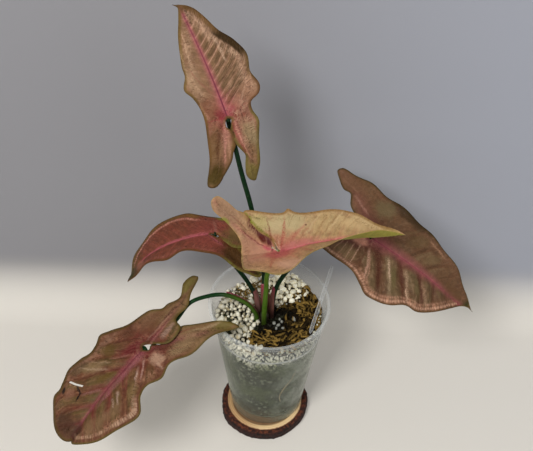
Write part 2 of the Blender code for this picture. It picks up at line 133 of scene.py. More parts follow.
def new_material(name):
    """A new material: itself, its tree, its Principled shader and the object coordinates."""
    made = bpy.data.materials.new(name)
    made.use_nodes = True
    tree = made.node_tree
    shader = tree.nodes["Principled BSDF"]
    place = node(tree, "TexCoord").outputs["Object"]
    return made, tree, shader, place


def plug(tree, shader, **sockets):
    """Values and links for the shader's sockets, by name with underscores for spaces."""
    for name, value in sockets.items():
        give(tree, shader.inputs[name.replace("_", " ")], value)


def add_piece(name, points, faces, look, smooth=True):
    """A new mesh object from points in millimetres."""
    mesh = bpy.data.meshes.new(name)
    mesh.from_pydata([tuple(float(c) * MM for c in p) for p in points], [], faces)
    mesh.update()
    mesh.polygons.foreach_set("use_smooth", [smooth] * len(mesh.polygons))
    mesh.materials.append(look)
    made = bpy.data.objects.new(name, mesh)
    bpy.context.scene.collection.objects.link(made)
    return made


sweep = [(-900.0, 0.0)]
for i in range(25):
    a = math.radians(90.0 * i / 24)
    sweep.append((WALL_Y - SWEEP_RADIUS + SWEEP_RADIUS * math.sin(a),
                  SWEEP_RADIUS - SWEEP_RADIUS * math.cos(a)))
sweep.append((WALL_Y, 1500.0))
stage_points = [(x, y, z) for y, z in sweep for x in (-1500.0, 1500.0)]
stage_faces = [(2 * i, 2 * i + 1, 2 * i + 3, 2 * i + 2) for i in range(len(sweep) - 1)]
stage_look, tree, shader, place = new_material("studio_paper")
height = node(tree, "SeparateXYZ", {"Vector": place}).outputs["Z"]
across = node(tree, "SeparateXYZ", {"Vector": place}).outputs["X"]
# The wall is painted lighter and bluer towards the right: painted light.
wall = mixed(tree, fade(tree, across, -0.15, 0.3), srgb(146, 145, 149), srgb(166, 169, 180))
paper = mixed(tree, fade(tree, height, 0.0, 0.06), srgb(214, 208, 198), wall)
grain = noise(tree, place, 900.0, 2.0)
plug(tree, shader, Base_Color=mixed(tree, times(tree, grain, 0.05), paper, srgb(150, 150, 150)),
     Roughness=0.95, Emission_Color=srgb(214, 210, 200),
     Emission_Strength=fade(tree, height, 0.0, 0.05, 0.2, 0.0))
# Seen from its back, the backdrop is clear.
back = node(tree, "NewGeometry").outputs["Backfacing"]
see_through = node(tree, "BsdfTransparent").outputs["BSDF"]
one_sided = tree.nodes.new("ShaderNodeMixShader")
tree.links.new(back, one_sided.inputs["Fac"])
tree.links.new(shader.outputs["BSDF"], one_sided.inputs[1])
tree.links.new(see_through, one_sided.inputs[2])
tree.links.new(one_sided.outputs[0], tree.nodes["Material Output"].inputs["Surface"])
stage = add_piece("studio_sweep", stage_points, stage_faces, stage_look)

for name, spot, aim, size, power in (
        ("key_lamp", (-420.0, -750.0, 1150.0), (0.0, 0.0, 180.0), 380.0, 11.5),
        ("fill_lamp", (900.0, -500.0, 700.0), (0.0, 0.0, 150.0), 900.0, 2.0)):
    lamp = bpy.data.objects.new(name, bpy.data.lights.new(name, "AREA"))
    bpy.context.scene.collection.objects.link(lamp)
    lamp.data.size = size * MM
    lamp.data.energy = power
    way = (Vector(aim) - Vector(spot)).normalized()
    aimed = way.to_track_quat("-Z", "Y").to_matrix().to_4x4()
    lamp.matrix_world = Matrix.Translation(Vector(spot) * MM) @ aimed
world = bpy.data.worlds.new("studio_air")
bpy.context.scene.world = world
world.use_nodes = True
world.node_tree.nodes["Background"].inputs["Color"].default_value = srgb(224, 226, 228)
world.node_tree.nodes["Background"].inputs["Strength"].default_value = 0.44
bpy.context.scene.view_settings.view_transform = "Standard"

# Wood slice. A cross-cut of a thin branch, dried and sanded on its faces, with the rough dark
# bark left on. The cup stands on it loose, a little behind its middle.


def cad_corners(name):
    """The lowest and the highest corner of a CAD node, in millimetres."""
    return [[round(c / MM, 2) for c in corner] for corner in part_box(name)]


SLICE_X, SLICE_Y = -1.5, -4.3
SLICE_RADIUS = 38.3
WOOD_RADIUS = 33.0
SLICE_HEIGHT = cad_corners("wood_slice")[1][2]
SLICE_SIDES = 220


def turned(profile, sides, x=0.0, y=0.0, shift=None):
    """A closed body turned round the z axis from (radius, z) pairs, axis to axis."""
    points, faces, rows = [], [], []
    for i, (r, z) in enumerate(profile):
        if r < 1e-6:
            rows.append([len(points)])
            points.append((x, y, z))
            continue
        rows.append(list(range(len(points), len(points) + sides)))
        for j in range(sides):
            a = math.tau * j / sides
            out, up = shift(a, i) if shift else (0.0, 0.0)
            points.append((x + (r + out) * math.cos(a), y + (r + out) * math.sin(a), z + up))
    for low, high in zip(rows, rows[1:]):
        for j in range(sides):
            k = (j + 1) % sides
            if len(low) == 1:
                faces.append((low[0], high[k], high[j]))
            elif len(high) == 1:
                faces.append((low[j], low[k], high[0]))
            else:
                faces.append((low[j], low[k], high[k], high[j]))
    return points, faces


def bump(tree, height, distance, strength=1.0):
    made = node(tree, "Bump", {"Height": height, "Distance": distance, "Strength": strength})
    return made.outputs["Normal"]


slice_profile = [(0, 0), (SLICE_RADIUS - 1.4, 0), (SLICE_RADIUS - 0.5, 0.7)]
slice_profile += [(SLICE_RADIUS, z) for z in (2.0, 3.5, 5.0, 6.5, 8.0)]
slice_profile += [(SLICE_RADIUS - 0.9, 9.1), (SLICE_RADIUS - 2.4, 9.5), (WOOD_RADIUS + 1.4, 9.3),
                  (WOOD_RADIUS + 0.4, 9.2), (WOOD_RADIUS - 0.3, 9.9), (WOOD_RADIUS - 1.5, SLICE_HEIGHT),
                  (20, SLICE_HEIGHT), (0, SLICE_HEIGHT)]


def bark_shift(a, i):
    """The branch is a little out of round, and its bark is knobbly."""
    r, z = slice_profile[i]
    round_out = 0.9 * math.sin(2 * a + 0.6) + 0.5 * math.sin(5 * a + 1.9) + 0.35 * math.sin(9 * a)
    if i < 2 or i > 12:
        return (0.3 * round_out if r > 1 else 0.0), 0.0
    knobs = (math.sin(23 * a + 1.3 * z) + math.sin(37 * a - 0.9 * z + 1.0) + math.sin(61 * a + 2.0 * z)) / 3
    weight = 1.0 if i < 10 else 0.35
    return (0.75 * round_out + 0.45 * knobs - 0.3) * weight, (0.12 * knobs if i > 7 else 0.0)


slice_look, tree, shader, place = new_material("slice_wood_bark")
centred = node(tree, "Mapping", {"Vector": place, "Location": (-SLICE_X * MM, -SLICE_Y * MM, 0)}).outputs[0]
flat = node(tree, "Mapping", {"Vector": centred, "Scale": (1, 1, 0)}).outputs[0]
radius = node(tree, "VectorMath", {0: flat}, operation="LENGTH").outputs["Value"]
swirl = noise(tree, centred, 60.0, 2.0)
ring_place = calc(tree, "ADD", radius, times(tree, swirl, 0.003))
rings = calc(tree, "SINE", times(tree, ring_place, 3600.0))
grain = noise(tree, node(tree, "Mapping", {"Vector": centred, "Scale": (1, 1, 0.2)}).outputs[0], 700.0)
wood = mixed(tree, fade(tree, rings, -0.9, 1.0), srgb(190, 136, 78), srgb(140, 86, 38))
across = node(tree, "SeparateXYZ", {"Vector": centred}).outputs["X"]
# A pale sapwood ring lies just inside the bark; its extra brightness towards the right is a painted
# highlight.
sapwood_and_highlight = times(tree, fade(tree, ring_place, 0.0284, 0.0304), fade(tree, across, -0.022, 0.004, 0.4, 1.0))
wood = mixed(tree, sapwood_and_highlight, wood, srgb(246, 212, 158))
# Inside the cup's foot the wood is painted dark brown: painted shadow under the cup.
wood = mixed(tree, fade(tree, radius, 0.0286, 0.03, 0.9, 0.0), wood, srgb(84, 52, 26))
wood = mixed(tree, fade(tree, radius, 0.0322, 0.0334, 0.0, 0.8), wood, srgb(130, 66, 32))
wood = mixed(tree, times(tree, grain, 0.3), wood, srgb(220, 176, 122))
knots = noise(tree, centred, 330.0, 5.0, 0.7)
height = node(tree, "SeparateXYZ", {"Vector": place}).outputs["Z"]
bark = mixed(tree, fade(tree, knots, 0.36, 0.62), srgb(10, 3, 2), srgb(54, 22, 12))
# The top edge of the bark is painted reddish brown in knotty spots: a painted highlight along that edge.
bark_top_highlight = times(tree, fade(tree, height, 0.0082, 0.0096), fade(tree, knots, 0.45, 0.6, 0.1, 0.7))
bark = mixed(tree, bark_top_highlight, bark, srgb(128, 66, 38))
edge = calc(tree, "ADD", radius, times(tree, calc(tree, "SUBTRACT", knots, 0.5), 0.003))
is_bark = fade(tree, edge, (WOOD_RADIUS - 0.2) * MM, (WOOD_RADIUS + 0.5) * MM)
relief = mixed(tree, is_bark, fade(tree, rings, -1.0, 1.0, 0.0, 0.15), knots)
plug(tree, shader, Base_Color=mixed(tree, is_bark, wood, bark),
     Roughness=fade(tree, is_bark, 0.0, 1.0, 0.55, 0.9), Normal=bump(tree, relief, 0.0012, 0.7))
piece = add_piece("wood_slice_round", *turned(slice_profile, SLICE_SIDES, SLICE_X, SLICE_Y, bark_shift),
                  slice_look)
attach(piece, "root")
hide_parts("wood_slice")

# Cup. A thin clear drinks cup, moulded in one piece, with a rolled lip, a stacking ring below it
# and a raised base. Damp and a film of algae dull its wall. It stands loose on the slice.

cup_low, cup_high = cad_corners("cup")
CUP_Z, CUP_TOP = cup_low[2], cup_high[2]
CUP_LIP_RADIUS = cup_high[0]
CUP_BASE_RADIUS = 31.4
CUP_RING_RADIUS = 44.4
CUP_RING_Z = 113.0
LIP_WIDE, LIP_DEEP = 1.4, 2.4
CUP_WALL = 0.8
CUP_FLOOR = CUP_Z + 8.5


def wall_radius(z):
    """Outer radius of the straight wall below the stacking ring."""
    t = (z - CUP_Z) / (CUP_RING_Z - CUP_Z)
    return CUP_BASE_RADIUS + (CUP_RING_RADIUS - 0.6 - CUP_BASE_RADIUS) * t


cup_outside = [(CUP_BASE_RADIUS - 0.5, CUP_Z), (CUP_BASE_RADIUS, CUP_Z + 0.5)]
cup_outside += [(wall_radius(z), z) for z in (14.0, 20.0, 45.0, 70.0, 95.0, 108.0)]
cup_outside += [(wall_radius(111.0), 111.0), (44.0, 111.9), (44.4, 112.5), (44.6, 113.3), (44.7, 114.2),
                (44.8, 116.0), (45.3, 122.0), (46.0, 130.0), (46.3, 131.6), (46.9, 132.4)]
cup_outside += [(CUP_LIP_RADIUS - LIP_WIDE + LIP_WIDE * math.cos(a),
                 CUP_TOP - LIP_DEEP + LIP_DEEP * math.sin(a))
                for a in [math.radians(d) for d in range(-60, 151, 30)]]
cup_inside = [(46.1, CUP_TOP - 1.6), (46.0, CUP_TOP - 3.2), (45.5, 131.0), (44.5, 122.0), (44.0, 116.0),
              (43.9, 114.2), (43.6, 112.6), (43.1, 111.2)]
cup_inside += [(wall_radius(z) - CUP_WALL, z) for z in (108.0, 95.0, 70.0, 45.0, 24.0)]
cup_inside += [(wall_radius(20.6) - CUP_WALL - 0.3, CUP_FLOOR + 1.2),
               (30.2, CUP_FLOOR + CUP_WALL), (12, CUP_FLOOR + CUP_WALL), (0, CUP_FLOOR + CUP_WALL)]
cup_profile = [(0, CUP_FLOOR), (12, CUP_FLOOR), (30.0, CUP_FLOOR), (wall_radius(16.0) - CUP_WALL, 16.5),
               (CUP_BASE_RADIUS - CUP_WALL, CUP_Z + 0.4)] + cup_outside + cup_inside
cup_look, tree, shader, place = new_material("clear_cup")
facing = node(tree, "LayerWeight", {"Blend": 0.5}).outputs["Facing"]
spot = node(tree, "SeparateXYZ", {"Vector": place}).outputs
across, height = spot["X"], spot["Z"]
film = noise(tree, place, 55.0, 4.0, 0.6)
drops = noise(tree, place, 900.0, 2.0)
below = fade(tree, height, 0.104, 0.116, 1.0, 0.0)
# The haze is heavier towards the right side of the wall and a little heavier at its far left, which makes
# those parts paler.
sides = calc(tree, "ADD", fade(tree, across, -0.002, 0.02, 0.05, 0.56),
             fade(tree, across, -0.02, -0.034, 0.0, 0.2))
misty = times(tree, fade(tree, film, 0.3, 0.75), sides)
haze = times(tree, below, misty)
# The rolled lip is more opaque: partly its thicker plastic, partly a painted highlight along the rim.
lip = fade(tree, height, 0.1352, 0.1366, 0.07, 0.3)
# A thin pale line on the stacking ring is a painted highlight.
bead_highlight = times(tree, fade(tree, height, 0.1116, 0.1122), fade(tree, height, 0.1142, 0.1134, 0.0, 0.3))
rim_glow = calc(tree, "POWER", facing, 6.0)
cover = calc(tree, "ADD", calc(tree, "ADD", haze, lip), calc(tree, "ADD", rim_glow, 0.012))
cover = calc(tree, "ADD", cover, bead_highlight)
plug(tree, shader, Base_Color=mixed(tree, below, srgb(222, 226, 224), srgb(148, 154, 138)),
     Roughness=fade(tree, film, 0.2, 0.8, 0.1, 0.26), Alpha=cover, IOR=1.5,
     Normal=bump(tree, drops, 0.0001, 0.1))
piece = add_piece("clear_cup", *turned(cup_profile, 160), cup_look)
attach(piece, "root")
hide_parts("cup")

# Potting mix. Damp dark soil with pumice through it fills the cup to 20 mm below its rim. Grains
# lie against the wall, where they show through it, and algae have grown between them.

SOIL_TOP = cad_corners("soil")[1][2]
WALL_GAP = 0.3
SOIL_SIDES, SOIL_ROWS = 320, 100
BAND_Z = 97.0
BAND_INSET = 2.6
GRAIN_ROWS, GRAINS_ROUND = 10, 76
FRONT_ONLY_ROWS, FIRST_FRONT_GRAIN = 2, 37
soil_floor = CUP_FLOOR + CUP_WALL + WALL_GAP


def inner_radius(z):
    return min(wall_radius(z), wall_radius(108.0) + 0.06 * max(0.0, z - 108.0)) - CUP_WALL


def cell_grains(points, size, seed):
    """For each point the depth inside its grain, 0 to 1, and the grain's own tone."""
    rng = np.random.default_rng(seed)
    low = np.floor(points.min(axis=0) / size).astype(int) - 2
    shape = np.floor(points.max(axis=0) / size).astype(int) + 3 - low
    centres = rng.random((*shape, 3))
    tones = rng.random(shape)
    cell = np.floor(points / size).astype(int)
    best = np.full(len(points), 9.0)
    second = np.full(len(points), 9.0)
    tone = np.zeros(len(points))
    for step in np.ndindex(3, 3, 3):
        at = cell + np.array(step) - 1
        i, j, k = (at - low).T
        far = np.linalg.norm(at + centres[i, j, k] - points / size, axis=1)
        closer = far < best
        second = np.where(closer, best, np.minimum(second, far))
        tone = np.where(closer, tones[i, j, k], tone)
        best = np.where(closer, far, best)
    return np.clip((second - best) / 0.5, 0, 1), tone


def grain_shape(rng):
    """Points and faces of one broken grain, about one across: a ball cut by a few random planes."""
    mesh = bmesh.new()
    bmesh.ops.create_icosphere(mesh, subdivisions=1, radius=0.5)
    stretch = [rng.uniform(0.65, 1.3) for _ in range(3)]
    cuts = []
    for _ in range(7):
        way = Vector((rng.gauss(0, 1), rng.gauss(0, 1), rng.gauss(0, 1))).normalized()
        cuts.append((way, rng.uniform(0.24, 0.4)))
    for vert in mesh.verts:
        for way, far in cuts:
            over = vert.co.dot(way) - far
            if over > 0:
                vert.co -= way * over * 0.85
        vert.co = Vector([c * s + rng.uniform(-0.03, 0.03) for c, s in zip(vert.co, stretch)])
    points = [tuple(v.co) for v in mesh.verts]
    faces = [tuple(v.index for v in f.verts) for f in mesh.faces]
    mesh.free()
    return points, faces


def store(piece, name, values):
    """Gives each point of the piece a value that its material can read."""
    values = np.asarray(values, np.float32)
    piece.data.attributes.new(name, "FLOAT", "POINT").data.foreach_set("value", values)


def stored(tree, name):
    return node(tree, "Attribute", attribute_name=name).outputs["Fac"]


soil_rows = [(0.0, soil_floor), (15.0, soil_floor)]
soil_rows += [(inner_radius(z) - WALL_GAP, z) for z in np.linspace(soil_floor, SOIL_TOP, SOIL_ROWS)]
soil_rows += [(inner_radius(SOIL_TOP) - 3.0, SOIL_TOP), (20.0, SOIL_TOP), (0.0, SOIL_TOP)]
soil_rows = [(r - (BAND_INSET if z > BAND_Z and r > 38.0 else 0.0), z) for r, z in soil_rows]
points, faces = turned(soil_rows, SOIL_SIDES)
points = np.array(points)
depth, tone = cell_grains(points, 3.6, 11)
depth = np.where(points[:, 2] > BAND_Z - 0.5, 0.0, depth)
from_axis = np.hypot(points[:, 0], points[:, 1])
on_wall = (from_axis > 26.0) & (points[:, 2] < SOIL_TOP - 0.01)
pull = np.where(on_wall, 1.0 - (1.5 * (1 - depth) ** 2) / np.maximum(from_axis, 1), 1)
points[:, 0] *= pull
points[:, 1] *= pull
rng = random.Random(21)
wall_grains = [grain_shape(rng) for _ in range(12)]
grown, tone, depth = [tuple(p) for p in points], list(tone), list(depth)
for row in range(GRAIN_ROWS):
    for k in range(GRAINS_ROUND):
        size, z = rng.uniform(2.6, 4.4), BAND_Z + 1.4 + 2.5 * row + rng.uniform(-0.8, 0.8)
        if row < GRAIN_ROWS - FRONT_ONLY_ROWS:
            z = min(z, SOIL_TOP - size / 2)
        elif k < FIRST_FRONT_GRAIN:
            continue
        a = math.tau * (k + 0.5 * row + rng.uniform(-0.3, 0.3)) / GRAINS_ROUND
        r = inner_radius(z) - WALL_GAP - size * 0.56
        grain, sides = rng.choice(wall_grains)
        twist = (Matrix.Rotation(rng.uniform(0, math.tau), 3, "Z")
                 @ Matrix.Rotation(rng.uniform(0, math.tau), 3, "X"))
        start, spot = len(grown), Vector((r * math.cos(a), r * math.sin(a), z))
        grown += [tuple(twist @ Vector(p) * size + spot) for p in grain]
        faces += [tuple(start + i for i in f) for f in sides]
        tone += [rng.uniform(0.3 if z > 108 else 0.0, 0.9)] * len(grain)
        depth += [1.0] * len(grain)
points, tone, depth = np.array(grown), np.array(tone), np.array(depth)
soil_look, tree, shader, place = new_material("damp_soil")
tone_in = stored(tree, "tone")
depth_in = stored(tree, "depth")
height = node(tree, "SeparateXYZ", {"Vector": place}).outputs["Z"]
algae = noise(tree, place, 34.0, 4.0, 0.6)
mottle = noise(tree, place, 260.0, 4.0, 0.7)
share = fade(tree, height, 0.092, 0.098, 0.8, 0.3)
is_stone = times(tree, calc(tree, "GREATER_THAN", tone_in, share), fade(tree, depth_in, 0.1, 0.5))
earth = mixed(tree, mottle, srgb(16, 16, 12), srgb(58, 56, 44))
earth = mixed(tree, fade(tree, algae, 0.44, 0.66, 0.0, 0.7), earth, srgb(76, 82, 48))
earth = mixed(tree, fade(tree, height, 0.04, 0.022, 0.0, 0.7), earth, srgb(66, 44, 28))
stone = mixed(tree, tone_in, srgb(150, 148, 120), srgb(246, 242, 222))
stone = mixed(tree, fade(tree, algae, 0.46, 0.62, 0.0, 0.75), stone, srgb(120, 128, 74))
stone = mixed(tree, fade(tree, height, 0.094, 0.108, 0.9, 0.0), stone, srgb(74, 78, 60))
plug(tree, shader, Base_Color=mixed(tree, is_stone, earth, stone), Specular_IOR_Level=0.2,
     Roughness=fade(tree, mottle, 0.2, 0.8, 0.5, 0.9), Normal=bump(tree, mottle, 0.0008, 0.6))
piece = add_piece("soil_and_grit", points, faces, soil_look)
store(piece, "tone", tone)
store(piece, "depth", depth)
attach(piece, "root")
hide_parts("soil")

# Top dressing. Loose grains of pumice cover the left of the pot and are heaped at its back right.
# They are raw, broken stone, dry and off-white, three to six millimetres across.

BED_Z = cad_corners("pumice")[0][2]
MOUTH_RADIUS = 43.0
HEAP = (17.0, 31.0)
HEAP_SIZE = (15.5, 17.0)
HEAP_RISE = 8.0
HEAP_LIMIT = 41.5
PUMICE_START = 47.0
PUMICE_RADII = (10.5, 42.2)
FRONT_START, FRONT_TURN = 236.0, 24.0


def heap_height(x, y):
    return HEAP_RISE * math.exp(-((x - HEAP[0]) ** 2 + (y - HEAP[1]) ** 2) / 170.0)


class Heap:
    """Gathers many small bodies, each turned and placed, into one mesh, and gives each its tone."""

    def __init__(self, rng, shapes):
        self.rng, self.shapes = rng, shapes
        self.points, self.faces, self.tones = [], [], []

    def drop(self, spot, size, tone):
        rng = self.rng
        points, faces = rng.choice(self.shapes)
        turn = (Matrix.Rotation(rng.uniform(0, math.tau), 3, "X")
                @ Matrix.Rotation(rng.uniform(0, math.tau), 3, "Z"))
        start = len(self.points)
        self.points += [tuple(turn @ Vector(p) * size + Vector(spot)) for p in points]
        self.faces += [tuple(start + k for k in f) for f in faces]
        self.tones += [tone] * len(points)

    def make(self, name, look):
        piece = add_piece(name, self.points, self.faces, look)
        store(piece, "tone", self.tones)
        return piece


def scatter(rng, count, spacing, inside_area):
    """Up to count spots in the cup's mouth that keep their spacing."""
    spots = []
    for _ in range(count * 30):
        r, a = MOUTH_RADIUS * math.sqrt(rng.random()), rng.uniform(0, math.tau)
        x, y = r * math.cos(a), r * math.sin(a)
        if inside_area(x, y) and all((x - u) ** 2 + (y - v) ** 2 > spacing ** 2 for u, v in spots):
            spots.append((x, y))
            if len(spots) == count:
                break
    return spots


def bearing(x, y):
    return math.degrees(math.atan2(y, x)) % 360.0


def on_heap(x, y):
    u, v = (x - HEAP[0]) / HEAP_SIZE[0], (y - HEAP[1] + 2.0) / HEAP_SIZE[1]
    return u ** 2 + v ** 2 < 1.0 and math.hypot(x, y) < HEAP_LIMIT


def front_edge(far):
    """The bearing at which pumice gives way to moss. It lies further round near the wall."""
    return FRONT_START + FRONT_TURN * min(1.0, max(0.0, (far - 27.0) / 9.0))


def on_pumice(x, y):
    far = math.hypot(x, y)
    wander = 5.0 * math.sin(far / 4.0)
    on_left = PUMICE_START + wander < bearing(x, y) < front_edge(far) + wander
    return on_left and PUMICE_RADII[0] < far < PUMICE_RADII[1] or on_heap(x, y)


rng = random.Random(5)
grain_shapes = [grain_shape(rng) for _ in range(24)]
pumice_heap = Heap(rng, grain_shapes)
# The lower grains get darker tones: painted shade in the gaps between the grains on top.
for x, y in scatter(rng, 330, 3.0, on_pumice):
    pumice_heap.drop((x, y, BED_Z + 1.4 + 0.45 * heap_height(x, y)), rng.uniform(2.8, 4.4),
                     rng.uniform(0.15, 0.6))
for x, y in scatter(rng, 330, 3.5, on_pumice):
    size = rng.choice((2.8, 3.8, 4.6, 5.4, 6.4)) * rng.uniform(0.9, 1.1)
    pumice_heap.drop((x, y, BED_Z + 2.7 + heap_height(x, y) + rng.uniform(-0.6, 0.7)), size,
                     rng.uniform(1.1, 1.5) if on_heap(x, y) else rng.uniform(0.5, 1.0))
# Here too the lower grains are darker: painted shade between the grains on top.
for x, y in scatter(rng, 90, 2.9, on_heap):
    pumice_heap.drop((x, y, BED_Z + 1.2 + 0.75 * heap_height(x, y)), 3.8, rng.uniform(0.2, 0.6))
for x, y in scatter(rng, 60, 3.7, on_heap):
    pumice_heap.drop((x, y, BED_Z + 3.7 + heap_height(x, y)), rng.uniform(3.6, 5.4), rng.uniform(1.1, 1.5))
pumice_look, tree, shader, place = new_material("pumice_stone")
tone_in = stored(tree, "tone")
pores = node(tree, "TexVoronoi", {"Vector": place, "Scale": 2300.0}).outputs["Distance"]
stain = noise(tree, place, 420.0, 3.0)
stone = mixed(tree, fade(tree, tone_in, 0.0, 0.9), srgb(92, 82, 56), srgb(255, 250, 228))
stone = mixed(tree, fade(tree, stain, 0.48, 0.7, 0.0, 0.65), stone, srgb(204, 182, 126))
# Darker spots at the pores are painted shade in these small hollows.
stone = mixed(tree, fade(tree, pores, 0.0, 0.35, 0.35, 0.0), stone, srgb(120, 112, 96))
# Grains with a tone above one, on top of the heap, glow faintly: painted light that lifts them out of the
# leaves' shadow.
plug(tree, shader, Base_Color=stone, Roughness=0.92, Specular_IOR_Level=0.2,
     Normal=bump(tree, pores, 0.0004, 0.6), Emission_Color=stone,
     Emission_Strength=fade(tree, tone_in, 1.0, 1.5, 0.0, 0.28))
piece = pumice_heap.make("pumice_grains", pumice_look)
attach(piece, "root")
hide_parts("pumice")

# Loose soil. Black crumbs of peat and bark lie bare to the right of the stem, with a few grey
# lumps of damp grit among them.

SOIL_END = 52.0
SOIL_RADIUS = 36.0
STEM_RADIUS = 13.0
GREY_LUMPS = ((4.0, -9.5, 3.8), (7.5, -11.5, 4.4), (10.5, -8.0, 3.0), (6.0, -15.0, 3.2), (11.0, -14.5, 3.6),
              (8.5, -5.5, 2.6), (20.5, -5.0, 4.2), (14.0, 10.0, 3.4), (9.0, 12.0, 3.0), (25.0, 3.0, 2.6))


def on_soil(x, y):
    """The ground right of the stem, and all round its foot."""
    far, turn = math.hypot(x, y), bearing(x, y)
    on_right = (turn > FRONT_START or turn < SOIL_END) and not on_heap(x, y)
    return on_right and far < SOIL_RADIUS or far < STEM_RADIUS


crumb_heap = Heap(rng, grain_shapes)
for layer, count in ((0, 420), (1, 420)):
    for x, y in scatter(rng, count, 1.35, on_soil):
        crumb_heap.drop((x, y, BED_Z + 0.6 + layer + rng.uniform(-0.2, 0.4)),
                        rng.choice((1.2, 1.6, 2.1, 2.7)), rng.uniform(0.0, 0.5))
for x, y, size in GREY_LUMPS:
    crumb_heap.drop((x, y, BED_Z + 3.0), size, 1.0)
soil_top_look, tree, shader, place = new_material("loose_soil")
tone_in = stored(tree, "tone")
mottle = noise(tree, place, 900.0, 3.0)
crumb = mixed(tree, mottle, srgb(5, 4, 2), srgb(28, 22, 12))
crumb = mixed(tree, fade(tree, tone_in, 0.7, 0.9), crumb, srgb(146, 146, 136))
plug(tree, shader, Base_Color=crumb, Roughness=0.9, Specular_IOR_Level=0.1,
     Normal=bump(tree, mottle, 0.0006, 0.7))
piece = crumb_heap.make("loose_soil_crumbs", soil_top_look)
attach(piece, "root")
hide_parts("soil_top")

# Moss. Dry golden-brown sphagnum lies in a thick mat along the front and the right of the pot,
# in curved, flattened strands that cross each other, with a few scraps of bark.

MOSS_END = 405.0
MOSS_RADIUS = 42.3


def on_moss(x, y):
    far, turn = math.hypot(x, y), bearing(x, y)
    turn = turn + 360 if turn < 90 else turn
    inner = 22.0 - 3.0 * min(1.0, max(0.0, (turn - 300.0) / 60.0)) + 3.0 * math.sin(turn / 9.0)
    return front_edge(far) - 9.0 < turn < MOSS_END and inner < far < (39.0 if turn < 330 else 42.0)


def strand(rng, x, y, z, length, width, rise):
    """One bent, flattened strand as a closed tube with four sides, roughly along the wall."""
    way, bend = math.atan2(y, x) + math.pi / 2 + rng.gauss(0, 0.9), rng.uniform(-0.45, 0.45)
    points, faces, spot = [], [], Vector((x, y, z))
    steps = 6
    roll = rng.uniform(-0.5, 0.5)
    for k in range(steps + 1):
        t = k / steps
        w = width * (0.35 + 0.65 * math.sin(math.pi * min(0.97, t + 0.06))) * rng.uniform(0.8, 1.2)
        ahead = Vector((math.cos(way), math.sin(way), 0))
        across = Vector((-math.sin(way), math.cos(way), roll)).normalized()
        up = ahead.cross(across)
        for a, b in ((1, 0), (0, 0.45), (-1, 0), (0, -0.45)):
            points.append(spot + across * a * w + up * b * w)
        climb = rise * math.cos(math.pi * t) + rng.uniform(-0.15, 0.15)
        spot = spot + ahead * (length / steps) + Vector((0, 0, climb))
        out = math.hypot(spot.x, spot.y)
        if out > MOSS_RADIUS:
            spot.x, spot.y = spot.x * MOSS_RADIUS / out, spot.y * MOSS_RADIUS / out
        way += bend
    for k in range(steps):
        for j in range(4):
            a, b = 4 * k + j, 4 * k + (j + 1) % 4
            faces.append((a, b, b + 4, a + 4))
    faces += [(3, 2, 1, 0), tuple(4 * steps + j for j in range(4))]
    return [tuple(p) for p in points], faces


moss_mat = Heap(rng, [])


def lay(x, y, z, length, width, rise, tone):
    points, faces = strand(rng, x, y, z, length, width, rise)
    start = len(moss_mat.points)
    moss_mat.points += points
    moss_mat.faces += [tuple(start + k for k in f) for f in faces]
    moss_mat.tones += [tone] * len(points)


# Lower layers get darker tones: painted shade under the strands above them.
for layer, count in ((0, 460), (1, 420), (2, 240)):
    for x, y in scatter(rng, count, 1.5 + 0.3 * layer, on_moss):
        lay(x, y, BED_Z + 1.0 + 1.15 * layer, rng.uniform(4, 12), rng.uniform(0.4, 1.4),
            rng.uniform(0.0, 0.6), rng.random() * (0.3 + 0.35 * layer))
for x, y in scatter(rng, 26, 4.0, on_moss):
    lay(x, y, BED_Z + 3.2, rng.uniform(4, 8), rng.uniform(1.6, 2.4), 0.1, rng.choice((0.1, 0.2, 0.75)))
for x, y in scatter(rng, 34, 2.0, lambda x, y: 35 < math.hypot(x, y) < 41 and 8 < bearing(x, y) < 46):
    lay(x, y, BED_Z + 3.6 + rng.uniform(0, 4.5), rng.uniform(5, 9), rng.uniform(0.8, 1.5),
        rng.uniform(0.2, 0.9), rng.uniform(0.4, 1.0))
for x, y in scatter(rng, 90, 1.8, lambda x, y: 10 < math.hypot(x, y) < 36 and 82 < bearing(x, y) < 140):
    lay(x, y, BED_Z + 4.2, rng.uniform(4, 8), rng.uniform(0.5, 0.9), rng.uniform(0.0, 0.5),
        rng.uniform(0.3, 0.8))
moss_look, tree, shader, place = new_material("dry_moss")
tone_in = stored(tree, "tone")
fibre = noise(tree, place, 1500.0, 4.0, 0.7)
moss = mixed(tree, fade(tree, tone_in, 0.1, 0.9), srgb(26, 18, 6), srgb(158, 126, 62))
moss = mixed(tree, fade(tree, fibre, 0.4, 0.75, 0.0, 0.6), moss, srgb(34, 22, 8))
plug(tree, shader, Base_Color=moss, Roughness=0.9, Specular_IOR_Level=0.1,
     Normal=bump(tree, fibre, 0.0005, 0.7))
piece = moss_mat.make("moss_strands", moss_look)
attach(piece, "root")
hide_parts("moss")

# Leaves. Five soft arrow-shaped blades, about half a millimetre thick, each with its midrib and a
# rib in both lobes. Side veins are sunk and the skin between them is puffed. The outlines are
# drawn flat, x from the petiole to the tip and y to the left, and then bent into place.

SHEET_STEP = 1.25
LEAF_THICK = 0.5
CURL_WIDTH = 35.0
PALE_SUM = 370


def unit(v):
    v = np.asarray(v, float)
    return v / np.linalg.norm(v)


